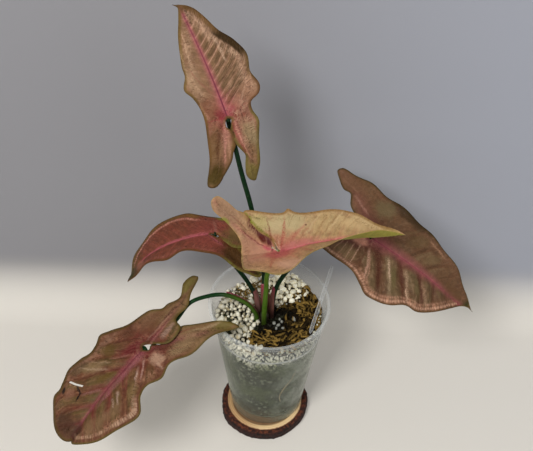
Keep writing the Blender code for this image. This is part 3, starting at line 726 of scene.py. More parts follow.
def spline(points, step):
    """A centripetal curve through the points, sampled about every step."""
    points = np.asarray(points, float)
    ends = np.vstack([2 * points[0] - points[1], points, 2 * points[-1] - points[-2]])
    out = []
    for i in range(1, len(ends) - 2):
        a, b, c, d = ends[i - 1:i + 3]
        ta = 0.0
        tb = ta + max(np.linalg.norm(b - a), 1e-6) ** 0.5
        tc = tb + max(np.linalg.norm(c - b), 1e-6) ** 0.5
        td = tc + max(np.linalg.norm(d - c), 1e-6) ** 0.5
        count = max(1, round(np.linalg.norm(c - b) / step))
        for k in range(count):
            t = tb + (tc - tb) * k / count
            ab = (tb - t) / (tb - ta) * a + (t - ta) / (tb - ta) * b
            bc = (tc - t) / (tc - tb) * b + (t - tb) / (tc - tb) * c
            cd = (td - t) / (td - tc) * c + (t - tc) / (td - tc) * d
            abc = (tc - t) / (tc - ta) * ab + (t - ta) / (tc - ta) * bc
            bcd = (td - t) / (td - tb) * bc + (t - tb) / (td - tb) * cd
            out.append((tc - t) / (tc - tb) * abc + (t - tb) / (tc - tb) * bcd)
    out.append(points[-1])
    return np.array(out)


def eased(values, x, length):
    """Lobe, base and tip values, eased along the leaf."""
    lobe, base, tip = values
    a = np.clip(-x / 60.0, 0, 1)
    b = np.clip(x / length, 0, 1)
    return np.where(x < 0, base + (lobe - base) * a * a * (3 - 2 * a),
                    base + (tip - base) * b * b * (3 - 2 * b))


def ramp(value, start, end):
    t = np.clip((value - start) / (end - start), 0, 1)
    return t * t * (3 - 2 * t)


def midline(leaf, x):
    """How far the midrib lies to the left of the drawn middle line."""
    xs, ys = leaf.get("midline", ((0, 1), (0, 0)))
    return np.interp(x, xs, ys)


def pose(leaf):
    """The 3-D place of flat points: a bent midrib with a folded, rolled half on each side."""
    along = unit(leaf["toward"])
    face = np.asarray(leaf["face"], float)
    normal = unit(face - face.dot(along) * along)
    left = np.cross(normal, along)
    at = np.asarray(leaf["at"], float)
    length = leaf["length"]
    table = np.linspace(-110.0, 130.0, 481)
    bend = np.radians(leaf["droop"]) * np.clip(table, 0, None) / length
    sway = np.radians(leaf["sway"]) * np.clip(table, 0, None) / length

    def integral(v):
        total = np.concatenate([[0.0], np.cumsum((v[1:] + v[:-1]) / 2 * (table[1] - table[0]))])
        return total - np.interp(0.0, table, total)

    run = integral(np.cos(bend) * np.cos(sway))
    rise = integral(-np.sin(bend))
    side = integral(np.cos(bend) * np.sin(sway))

    def place(x, y, lift=0.0):
        x, y = np.asarray(x, float), np.asarray(y, float)
        off = midline(leaf, x)
        y = y - off
        th, sw = np.interp(x, table, bend), np.interp(x, table, sway)
        ahead = np.outer(np.cos(sw), along) + np.outer(np.sin(sw), left)
        ahead = ahead * np.cos(th)[:, None] - np.outer(np.sin(th), normal)
        across = np.outer(np.cos(sw), left) - np.outer(np.sin(sw), along)
        above = np.cross(ahead, across)
        rib = (at + np.outer(np.interp(x, table, run), along) + across * off[:, None]
               + np.outer(np.interp(x, table, rise), normal) + np.outer(np.interp(x, table, side), left))
        s = np.where(y >= 0, 1.0, -1.0)
        turn = np.where(y >= 0, eased(leaf["fold"][0], x, length), eased(leaf["fold"][1], x, length))
        curl = np.where(y >= 0, eased(leaf["curl"][0], x, length), eased(leaf["curl"][1], x, length))
        turn, curl = np.radians(turn), np.radians(curl) / CURL_WIDTH
        curl = np.where(np.abs(curl) < 1e-5, 1e-5, curl)
        a = np.abs(y)
        out = (np.sin(turn + curl * a) - np.sin(turn)) / curl
        up = (np.cos(turn) - np.cos(turn + curl * a)) / curl + lift
        return rib + across * (s * out)[:, None] + above * up[:, None]

    return place


def inside(points, ring):
    hit = np.zeros(len(points), bool)
    x, y = points[:, 0], points[:, 1]
    for (ax, ay), (bx, by) in zip(ring, np.roll(ring, -1, axis=0)):
        crosses = (ay > y) != (by > y)
        hit ^= crosses & (x < (bx - ax) * (y - ay) / (by - ay + 1e-12) + ax)
    return hit


def edge_distance(points, ring):
    """Distance to the outline and the arc position of the nearest place on it."""
    best = np.full(len(points), 1e9)
    arc = np.zeros(len(points))
    start = 0.0
    for a, b in zip(ring, np.roll(ring, -1, axis=0)):
        d = b - a
        size = math.hypot(*d)
        if size < 1e-9:
            continue
        t = np.clip((points - a) @ d / size ** 2, 0, 1)
        far = np.linalg.norm(points - a - t[:, None] * d, axis=1)
        near = far < best
        best = np.where(near, far, best)
        arc = np.where(near, start + t * size, arc)
        start += size
    return best, arc


def outline(leaf, step):
    tip, apex = leaf["tip"], leaf["apex"]
    left = spline([tip, *leaf["left"], apex], step)
    right = spline([apex, *leaf["right"], tip], step)
    return np.vstack([left[:-1], right[:-1]])


def lobe_curve(lobe, x):
    slope, bend = lobe
    return slope * x + bend * x * x


def rib_distance(leaf, x, y):
    """Distance to the nearest of the midrib and the two lobe ribs, all starting at the petiole."""
    base = np.hypot(x, y)
    best = np.where(x > 0, np.abs(y), base)
    for slope, bend in leaf["lobes"]:
        k = 1 / math.hypot(1, slope)
        beside = np.abs(y - slope * x - bend * x * x) * k
        best = np.minimum(best, np.where((-x - slope * y) * k > 0, beside, base))
    return best


def vein_phase(leaf, x, y):
    """A whole number on each side vein, which leaves the midrib and leans towards the tip."""
    starts, lean, sweep = leaf["veins"]
    side = np.where(y >= 0, 0.0, 1.0)
    a = np.abs(y)
    first = x - lean * a - sweep * a * a
    if isinstance(starts, float):
        phase = first / starts + 0.45 * side
    else:
        wide = [2 * starts[0] - starts[1], *starts, 2 * starts[-1] - starts[-2]]
        phase = np.interp(first, wide, np.arange(len(wide)))
    return phase + 0.07 * np.sin(0.17 * x + 2.1 * side) + 0.03 * np.sin(0.21 * a + 0.13 * x)


def crinkle(x, y, size, seed):
    """Gentle unevenness of the skin, about -1 to 1."""
    u, v = x / size, y / size
    swell = np.sin(u * 1.9 + 1.3 * np.sin(v * 1.4 + seed))
    swell = swell * np.cos(v * 2.3 + 0.9 * np.sin(u * 1.7 + 2 * seed))
    return (swell + 0.5 * np.sin(3.7 * u + 2.9 * v + seed)) / 1.5


def relief(leaf, x, y, rib, edge, base, seed):
    """Height of the skin over the smooth blade: sunk ribs and side veins, puffed skin between."""
    phase = vein_phase(leaf, x, y)
    valley = np.abs(phase - np.round(phase)) * 2
    puff = np.where(y >= 0, leaf["puff"][0], leaf["puff"][1])
    room = ramp(rib, 1.0, 7.0) * ramp(edge, 0.5, 6.0) * ramp(base, 6.0, 18.0) * ramp(x, -14.0, -2.0)
    lift = puff * room * (np.sin(valley * math.pi / 2) ** 1.5 - 0.55)
    lift += leaf["crinkle"] * crinkle(x, y, 6.5, seed) * ramp(edge, 0.0, 4.0) * ramp(rib, 0.5, 4.0)
    lift -= 0.45 * np.exp(-(rib / 0.75) ** 2) * ramp(base, 2.0, 7.0)
    lift -= leaf["gutter"] * np.exp(-(rib / 6.0) ** 2) * ramp(base, 5.0, 25.0)
    for start, end, side, wide, depth in leaf.get("rolls", []):
        stretch = ramp(x, start - 5, start + 6) * ramp(x, end + 5, end - 6) * (side * y > 0)
        lift -= depth * stretch * ramp(edge, wide, 0.0) ** 1.5
    return lift


def tuck(leaf, x, y):
    """Draws the lobes together behind the petiole, one over the other: new y, and lift."""
    if "tuck" not in leaf:
        return y, 0.0
    line, over, reach, top_shift, under_shift, rise = leaf["tuck"]
    line = np.array(sorted(line), float)
    d = y - np.interp(x, line[:, 0], line[:, 1])
    first, last = line[0, 0], line[-1, 0]
    w = ramp(np.abs(d), reach, 0.0) * ramp(x, first, first + 8) * ramp(x, last, last - 4)
    on_top = np.sign(d) == over
    shift = np.where(on_top, top_shift, under_shift)
    return y - np.sign(d) * shift * w, np.where(on_top, rise, -0.6) * w


def flat_sheet(leaf, ring, step):
    """Points and triangles filling the outline, with rows of points along the ribs and any tear."""
    size = leaf["size"]
    low, high = ring.min(axis=0), ring.max(axis=0)
    rows = []
    for j, y in enumerate(np.arange(math.floor(low[1] / step) * step, high[1], step * 0.866)):
        xs = np.arange(low[0] + (j % 2) * step / 2, high[0], step)
        rows.append(np.stack([xs, np.full_like(xs, y)], axis=1))
    grid = np.vstack(rows)
    grid = grid[inside(grid, ring)]
    grid = grid[edge_distance(grid, ring)[0] > 0.5 * step]
    xs = np.arange(step, leaf["tip"][0] * size - step, 0.9 * step)
    chains = [np.stack([xs, midline(leaf, xs / size) * size], axis=1)]
    for lobe in leaf["lobes"]:
        xs = np.arange(-2.2 * step, -110.0, -0.9 * step / math.hypot(1, lobe[0]))
        chain = np.stack([xs, lobe_curve(lobe, xs / size) * size], axis=1)
        keep = inside(chain, ring) & (edge_distance(chain, ring)[0] > step)
        start = int(np.argmax(keep))
        stop = start + int(np.argmin(np.append(keep[start:], False)))
        chains.append(chain[start:stop])
    holes = [np.asarray(hole, float) * size for hole in leaf.get("tears", [])]
    for chain in chains + holes:
        if len(chain) < 2:
            continue
        closed = np.vstack([chain, chain[::-1]])
        grid = grid[edge_distance(grid, closed)[0] > 0.5 * step]
    grid = grid[np.hypot(grid[:, 0], grid[:, 1]) > 0.5 * step]
    points, edges, n = [ring], [(i, (i + 1) % len(ring)) for i in range(len(ring))], len(ring)
    for chain in chains:
        edges += [(n + i, n + i + 1) for i in range(len(chain) - 1)]
        points.append(chain)
        n += len(chain)
    for hole in holes:
        edges += [(n + i, n + (i + 1) % len(hole)) for i in range(len(hole))]
        points.append(hole)
        n += len(hole)
    done = delaunay_2d_cdt([Vector(p) for p in np.vstack(points + [grid])], edges, [], 1, 1e-4)
    verts = np.array([tuple(v) for v in done[0]])
    faces = np.array([tuple(f) for f in done[2]])
    for hole in holes:
        faces = faces[~inside(verts[faces].mean(axis=1), hole)]
    used = np.unique(faces)
    number = np.zeros(len(verts), int)
    number[used] = np.arange(len(used))
    return verts[used], number[faces]


def blade(leaf, step, thick, seed):
    """The leaf's solid, and its flat points and distances for the skin."""
    ring = outline(leaf, step) * leaf["size"]
    flat, faces = flat_sheet(leaf, ring, step)
    drawn = flat / leaf["size"]
    x, y = drawn.T
    y = y - midline(leaf, x)
    far, arc = edge_distance(flat, ring)
    rib = rib_distance(leaf, x, y)
    base = np.hypot(x, y)
    wave = leaf["wave"] * np.sin(arc * math.tau / leaf["wavelength"]) * np.clip(1 - far / 16, 0, 1) ** 2
    wave *= np.clip(np.hypot(flat[:, 0], flat[:, 1]) / 14, 0, 1) ** 2
    wave += relief(leaf, x, y, rib, far, base, seed)
    place = pose(leaf)
    y_drawn, lift = tuck(leaf, *drawn.T)
    middle = place(flat[:, 0], y_drawn * leaf["size"], wave + lift)
    corner = middle[faces]
    tilt = np.cross(corner[:, 1] - corner[:, 0], corner[:, 2] - corner[:, 0])
    normals = np.zeros_like(middle)
    for k in range(3):
        np.add.at(normals, faces[:, k], tilt)
    normals /= np.linalg.norm(normals, axis=1)[:, None]
    keel = 0.6 * np.exp(-(rib / 1.0) ** 2) * ramp(base, 0.0, 10.0) * np.clip(1.1 - np.abs(x) / 100, 0.2, 1)
    edge_thin = 0.55 + 0.45 * ramp(far, 0.0, 1.5)
    top = middle + normals * (thick / 2 * edge_thin)[:, None]
    under = middle - normals * (thick / 2 * edge_thin + keel)[:, None]
    n = len(middle)
    sides = {}
    for f in faces:
        for i in range(3):
            sides[(f[i], f[(i + 1) % 3])] = True
    walls = []
    for a, b in list(sides):
        if (b, a) not in sides:
            walls += [(b, a, a + n), (b, a + n, b + n)]
    solid = [tuple(f) for f in faces] + [tuple(f[::-1] + n) for f in faces] + walls
    look_of = [0] * len(faces) + [1] * len(faces) + [0] * len(walls)
    fields = dict(rib=rib, vein=vein_phase(leaf, x, y), edge=far, base=base, arc=arc)
    return np.vstack([top, under]), solid, look_of, drawn, fields


def group_socket(tree, name, kind, way="INPUT", value=None):
    made = tree.interface.new_socket(name=name, in_out=way, socket_type="NodeSocket" + kind)
    if value is not None:
        made.default_value = value


def span(tree, value, start, end, low=0.0, high=1.0):
    """A straight ramp whose ends may be sockets."""
    return node(tree, "MapRange", {"Value": value, "From Min": start, "From Max": end, "To Min": low,
                                   "To Max": high}).outputs["Result"]


def vector(tree, x, y):
    return node(tree, "CombineXYZ", {"X": x, "Y": y}).outputs["Vector"]


LEAF_SKIN_INPUTS = (
    ("Flat", "Vector", None), ("Rib", "Float", 9.0), ("Vein", "Float", 0.5), ("Edge", "Float", 9.0),
    ("Base", "Float", 30.0), ("Arc", "Float", 0.0), ("Ground", "Color", None), ("Band", "Color", None),
    ("Band amount", "Float", 0.5), ("Streak", "Color", None), ("Streak amount", "Float", 0.3),
    ("Vein colour", "Color", None), ("Vein amount", "Float", 0.5), ("Vein reach", "Float", 20.0),
    ("Rib colour", "Color", None), ("Rib line", "Color", None), ("Glow width", "Float", 3.0),
    ("Glow amount", "Float", 0.8), ("Heart", "Color", None), ("Heart reach", "Float", 25.0),
    ("Heart amount", "Float", 0.5), ("Net", "Color", None), ("Net place", "Float", 6.0),
    ("Net width", "Float", 4.0), ("Net amount", "Float", 0.5), ("Rim", "Color", None),
    ("Rim width", "Float", 1.2), ("Lobe", "Color", None), ("Lobe amount", "Float", 0.5),
    ("Tip", "Color", None), ("Tip start", "Float", 80.0), ("Tip end", "Float", 92.0),
    ("Left share", "Float", 1.0), ("Right share", "Float", 1.0), ("Left net", "Float", 1.0),
    ("Right net", "Float", 1.0), ("Minor amount", "Float", 0.4), ("Lobe glow", "Float", 0.8))


def build_leaf_skin():
    """Group: the colour and height of a leaf's skin from its flat place and its distances."""
    tree = bpy.data.node_groups.new("leaf_skin", "ShaderNodeTree")
    for name, kind, value in LEAF_SKIN_INPUTS:
        group_socket(tree, name, kind, value=value)
    group_socket(tree, "Colour", "Color", "OUTPUT")
    group_socket(tree, "Height", "Float", "OUTPUT")
    group_socket(tree, "Gloss", "Float", "OUTPUT")
    given = tree.nodes.new("NodeGroupInput").outputs
    flat, rib, vein, edge, base, arc = (given[k] for k in ("Flat", "Rib", "Vein", "Edge", "Base", "Arc"))
    split = node(tree, "SeparateXYZ", {"Vector": flat}).outputs
    x = split["X"]
    is_left = fade(tree, split["Y"], -0.5, 0.5)
    is_right = calc(tree, "SUBTRACT", 1.0, is_left)
    share, webbed = (calc(tree, "ADD", times(tree, is_left, given["Left " + kind]),
                          times(tree, is_right, given["Right " + kind])) for kind in ("share", "net"))
    calm = fade(tree, x, -12.0, -36.0, 1.0, 0.35)
    broad = noise(tree, flat, 0.06, 3.0, 0.6)
    fine = noise(tree, flat, 0.3, 4.0, 0.65)
    grit = noise(tree, flat, 1.3, 3.0, 0.6)
    along_veins = vector(tree, times(tree, vein, 6.0), times(tree, rib, 0.16))
    streak = noise(tree, along_veins, 1.0, 3.0, 0.6, 0.3)
    across_edge = vector(tree, times(tree, arc, 0.5), times(tree, edge, 0.16))
    crimp = noise(tree, across_edge, 1.0, 1.5, 0.5, 0.6)
    shaken = calc(tree, "ADD", vein, times(tree, calc(tree, "SUBTRACT", broad, 0.5), 0.25))
    near = calc(tree, "ABSOLUTE", calc(tree, "SUBTRACT", calc(tree, "FRACT", shaken), 0.5))
    valley = times(tree, near, 2.0)
    off_base = fade(tree, base, 7.0, 18.0)
    ahead = fade(tree, x, -16.0, -2.0)
    open_skin = times(tree, off_base, ahead, fade(tree, edge, 1.0, 7.0))
    band = times(tree, fade(tree, valley, 0.8, 0.25), open_skin, fade(tree, broad, 0.3, 0.6, 0.45, 1.0),
                 share)
    colour = mixed(tree, times(tree, band, given["Band amount"]), given["Ground"], given["Band"])
    lobed = times(tree, fade(tree, x, -8.0, -34.0), given["Lobe amount"])
    colour = mixed(tree, lobed, colour, given["Lobe"])
    streaked = times(tree, fade(tree, streak, 0.48, 0.72), fade(tree, rib, 1.0, 9.0),
                     given["Streak amount"], calm, calc(tree, "ADD", times(tree, share, 0.7), 0.3))
    colour = mixed(tree, streaked, colour, given["Streak"])
    hearted = times(tree, span(tree, base, 3.0, given["Heart reach"], 1.0, 0.0), given["Heart amount"])
    colour = mixed(tree, hearted, colour, given["Heart"])
    halves = calc(tree, "FRACT", times(tree, shaken, 2.0))
    minor = calc(tree, "ABSOLUTE", calc(tree, "SUBTRACT", halves, 0.5))
    minor = times(tree, fade(tree, minor, 0.4, 0.5), given["Minor amount"])
    line = times(tree, calc(tree, "MAXIMUM", fade(tree, valley, 0.74, 0.97), minor), ahead, off_base, share)
    reach = span(tree, rib, 0.0, given["Vein reach"], 1.0, 0.0)
    colour = mixed(tree, times(tree, line, reach, given["Vein amount"]), colour, given["Vein colour"])
    # The pale net near the margin is partly the skin's own network of fine veins and partly painted
    # highlight on its crinkles.
    shake = node(tree, "TexNoise", {"Vector": flat, "Scale": 0.22})
    bend = node(tree, "VectorMath", {0: shake.outputs["Color"]}, operation="SCALE")
    bend.inputs["Scale"].default_value = 5.0
    warped = node(tree, "VectorMath", {0: flat, 1: bend.outputs["Vector"]}, operation="ADD")
    cracks = node(tree, "TexVoronoi", {"Vector": warped.outputs["Vector"], "Scale": 0.3, "Randomness": 1.0},
                  feature="DISTANCE_TO_EDGE").outputs["Distance"]
    web = fade(tree, cracks, 0.2, 0.02)
    away = calc(tree, "ABSOLUTE", calc(tree, "SUBTRACT", edge, given["Net place"]))
    strip = span(tree, away, 0.0, given["Net width"], 1.0, 0.0)
    patchy = fade(tree, noise(tree, flat, 0.09, 2.0), 0.38, 0.6, 0.25, 1.0)
    crinkled = calc(tree, "MAXIMUM", fade(tree, crimp, 0.46, 0.68), times(tree, web, 0.75))
    netted = times(tree, strip, crinkled, patchy, given["Net amount"], webbed, calm)
    colour = mixed(tree, netted, colour, given["Net"])
    slender = fade(tree, x, 0.0, 95.0, 1.0, 0.45)
    glow_span = times(tree, given["Glow width"], slender)
    glow = calc(tree, "SUBTRACT", 1.0, calc(tree, "MINIMUM", calc(tree, "DIVIDE", rib, glow_span), 1.0))
    glow = times(tree, calc(tree, "POWER", glow, 1.4), given["Glow amount"],
                 span(tree, x, -10.0, -1.0, given["Lobe glow"], 1.0),
                 fade(tree, x, -20.0, -60.0, 1.0, 0.35))
    colour = mixed(tree, glow, colour, given["Rib colour"])
    thread = times(tree, fade(tree, rib, 0.8, 0.2, 0.0, 0.8), slender, fade(tree, x, -3.0, -16.0, 1.0, 0.0))
    colour = mixed(tree, thread, colour, given["Rib line"])
    colour = mixed(tree, span(tree, x, given["Tip start"], given["Tip end"]), colour, given["Tip"])
    outer = span(tree, calc(tree, "ADD", edge, times(tree, fine, -0.8)), given["Rim width"], 0.0)
    colour = mixed(tree, outer, colour, given["Rim"])
    combed = calc(tree, "ADD", 1.0, times(tree, fade(tree, streak, 0.25, 0.75, -0.18, 0.14), share))
    shade = times(tree, fade(tree, fine, 0.2, 0.8, 0.76, 1.22), combed)
    grey = node(tree, "CombineColor", {"Red": shade, "Green": shade, "Blue": shade}).outputs["Color"]
    colour = mixed(tree, 1.0, colour, grey, "MULTIPLY")
    tall = calc(tree, "ADD", times(tree, fine, 0.5), times(tree, grit, 0.2))
    tall = calc(tree, "ADD", tall, times(tree, streak, fade(tree, rib, 1.0, 6.0), share, 0.8))
    tall = calc(tree, "ADD", tall, times(tree, crinkled, strip, webbed, 0.5))
    ends = tree.nodes.new("NodeGroupOutput").inputs
    gloss = fade(tree, grit, 0.2, 0.8, 0.4, 0.6)
    for name, value in (("Colour", colour), ("Height", tall), ("Gloss", gloss)):
        tree.links.new(value, ends[name])
    return tree


leaf_skin = build_leaf_skin()


def daub(tree, flat, colour, patches):
    """Soft oval patches over the skin: place, half sizes, turn in degrees, colour and strength."""
    edge_noise = noise(tree, flat, 0.16, 3.0)
    for (x, y), (long, wide), turn, tint, strength in patches:
        placing = {"Vector": flat, "Location": (x, y, 0), "Scale": (long, wide, 1),
                   "Rotation": (0, 0, math.radians(turn))}
        local = node(tree, "Mapping", placing, vector_type="TEXTURE").outputs[0]
        far = node(tree, "VectorMath", {0: local}, operation="LENGTH").outputs["Value"]
        far = calc(tree, "ADD", far, times(tree, calc(tree, "SUBTRACT", edge_noise, 0.5), 0.9))
        colour = mixed(tree, fade(tree, far, 1.05, 0.35, 0.0, strength), colour, srgb(*tint))
    return colour


def build_stroke():
    """Group: the mask of one soft line, from its start, turn, length, bend, width and strength."""
    tree = bpy.data.node_groups.new("skin_stroke", "ShaderNodeTree")
    for name in ("Flat", "Start", "Turn"):
        group_socket(tree, name, "Vector")
    for name in ("Wobble", "Ragged", "Length", "Bend", "Width", "Strength"):
        group_socket(tree, name, "Float")
    group_socket(tree, "Mask", "Float", "OUTPUT")
    given = tree.nodes.new("NodeGroupInput").outputs
    placing = {"Vector": given["Flat"], "Location": given["Start"], "Rotation": given["Turn"]}
    local = node(tree, "Mapping", placing, vector_type="TEXTURE").outputs[0]
    split = node(tree, "SeparateXYZ", {"Vector": local}).outputs
    t = calc(tree, "DIVIDE", split["X"], given["Length"])
    bow = times(tree, given["Bend"], t, calc(tree, "SUBTRACT", 1.0, t), 4.0)
    beside = calc(tree, "ADD", calc(tree, "SUBTRACT", split["Y"], bow), given["Wobble"])
    taper = times(tree, given["Width"], fade(tree, t, 0.2, 1.0, 1.0, 0.6))
    far = calc(tree, "DIVIDE", calc(tree, "ABSOLUTE", beside), taper)
    mask = times(tree, fade(tree, far, 1.5, 0.1), fade(tree, t, -0.08, 0.12), fade(tree, t, 1.05, 0.75),
                 given["Ragged"], given["Strength"])
    tree.links.new(mask, tree.nodes.new("NodeGroupOutput").inputs["Mask"])
    return tree


skin_stroke = build_stroke()


def draw(tree, flat, colour, strokes):
    """Soft lines over the skin: both ends, bend, width, colour and strength."""
    wobble = times(tree, calc(tree, "SUBTRACT", noise(tree, flat, 0.2, 3.0, 0.6), 0.5), 3.5)
    ragged = fade(tree, noise(tree, flat, 1.1, 4.0, 0.7), 0.42, 0.55, 0.25, 1.0)
    for (x0, y0, x1, y1), curve, wide, tint, strength in strokes:
        use = tree.nodes.new("ShaderNodeGroup")
        use.node_tree = skin_stroke
        tree.links.new(flat, use.inputs["Flat"])
        tree.links.new(wobble, use.inputs["Wobble"])
        tree.links.new(ragged, use.inputs["Ragged"])
        for key, value in (("Start", (x0, y0, 0)), ("Turn", (0, 0, math.atan2(y1 - y0, x1 - x0))),
                           ("Length", math.hypot(x1 - x0, y1 - y0)), ("Bend", curve), ("Width", wide),
                           ("Strength", strength)):
            use.inputs[key].default_value = value
        colour = mixed(tree, use.outputs["Mask"], colour, srgb(*tint))
    return colour


def trim(tree, flat, edge, arc, colour, margins):
    """Stripes along the margin: start and end in x, side, nearest and farthest, colour, strength.

    A pale stripe is crossed by darker rungs."""
    split = node(tree, "SeparateXYZ", {"Vector": flat}).outputs
    ragged = noise(tree, vector(tree, times(tree, arc, 0.4), times(tree, edge, 0.12)), 1.0, 3.0, 0.6)
    shaky = calc(tree, "ADD", edge, times(tree, calc(tree, "SUBTRACT", ragged, 0.5), 1.4))
    uneven = calc(tree, "ADD", times(tree, arc, 2.9), times(tree, ragged, 9.0))
    base = node(tree, "VectorMath", {0: flat}, operation="LENGTH").outputs["Value"]
    rungs = times(tree, fade(tree, calc(tree, "SINE", uneven), -0.8, 0.8, 0.5, 1.0),
                  fade(tree, base, 14.0, 24.0))
    for start, end, side, near, far, tint, strength in margins:
        on_side = fade(tree, times(tree, split["Y"], side), -0.5, 0.5)
        stretch = times(tree, fade(tree, split["X"], start - 4.0, start + 4.0),
                        fade(tree, split["X"], end + 4.0, end - 4.0), on_side)
        stripe = times(tree, fade(tree, shaky, near - 0.7, near + 0.3),
                       fade(tree, shaky, far + 0.9, far - 0.6))
        stripe = times(tree, stretch, stripe, fade(tree, ragged, 0.42, 0.56, strength ** 3, strength),
                       rungs if sum(tint) > PALE_SUM else 1.0)
        colour = mixed(tree, stripe, colour, srgb(*tint))
    return colour


def leaf_material(name, skin, patches, strokes, margins):
    made, tree, shader, _ = new_material("skin_" + name)
    flat = node(tree, "Attribute", attribute_name="flat").outputs["Vector"]
    use = tree.nodes.new("ShaderNodeGroup")
    use.node_tree = leaf_skin
    tree.links.new(flat, use.inputs["Flat"])
    for key in ("rib", "vein", "edge", "base", "arc"):
        tree.links.new(stored(tree, key), use.inputs[key.capitalize()])
    for key, value in skin.items():
        key = key.replace("_", " ").capitalize()
        use.inputs[key].default_value = srgb(*value) if isinstance(value, tuple) else value
    edge, arc = stored(tree, "edge"), stored(tree, "arc")
    colour = daub(tree, flat, use.outputs["Colour"], patches)
    colour = trim(tree, flat, edge, arc, colour, margins)
    colour = draw(tree, flat, colour, strokes)
    plug(tree, shader, Base_Color=colour, Roughness=use.outputs["Gloss"], Specular_IOR_Level=0.18,
         Normal=bump(tree, use.outputs["Height"], 0.0015, 0.9))
    return made


def under_material(name, body, ribs):
    """The underside: paler and duller, with the ribs standing out."""
    made, tree, shader, _ = new_material("under_" + name)
    flat = node(tree, "Attribute", attribute_name="flat").outputs["Vector"]
    rib, vein = stored(tree, "rib"), stored(tree, "vein")
    fine = noise(tree, flat, 0.3, 4.0, 0.6)
    shaded = [c * 0.72 for c in body]
    colour = mixed(tree, fade(tree, fine, 0.3, 0.75, 0.0, 0.5), srgb(*body), srgb(*shaded))
    near = calc(tree, "ABSOLUTE", calc(tree, "SUBTRACT", calc(tree, "FRACT", vein), 0.5))
    colour = mixed(tree, fade(tree, near, 0.43, 0.5, 0.0, 0.45), colour, srgb(*ribs))
    colour = mixed(tree, fade(tree, rib, 1.3, 0.5, 0.0, 0.8), colour, srgb(*ribs))
    plug(tree, shader, Base_Color=colour, Roughness=fade(tree, fine, 0.2, 0.8, 0.5, 0.65),
         Normal=bump(tree, fine, 0.0004, 0.6))
    return made


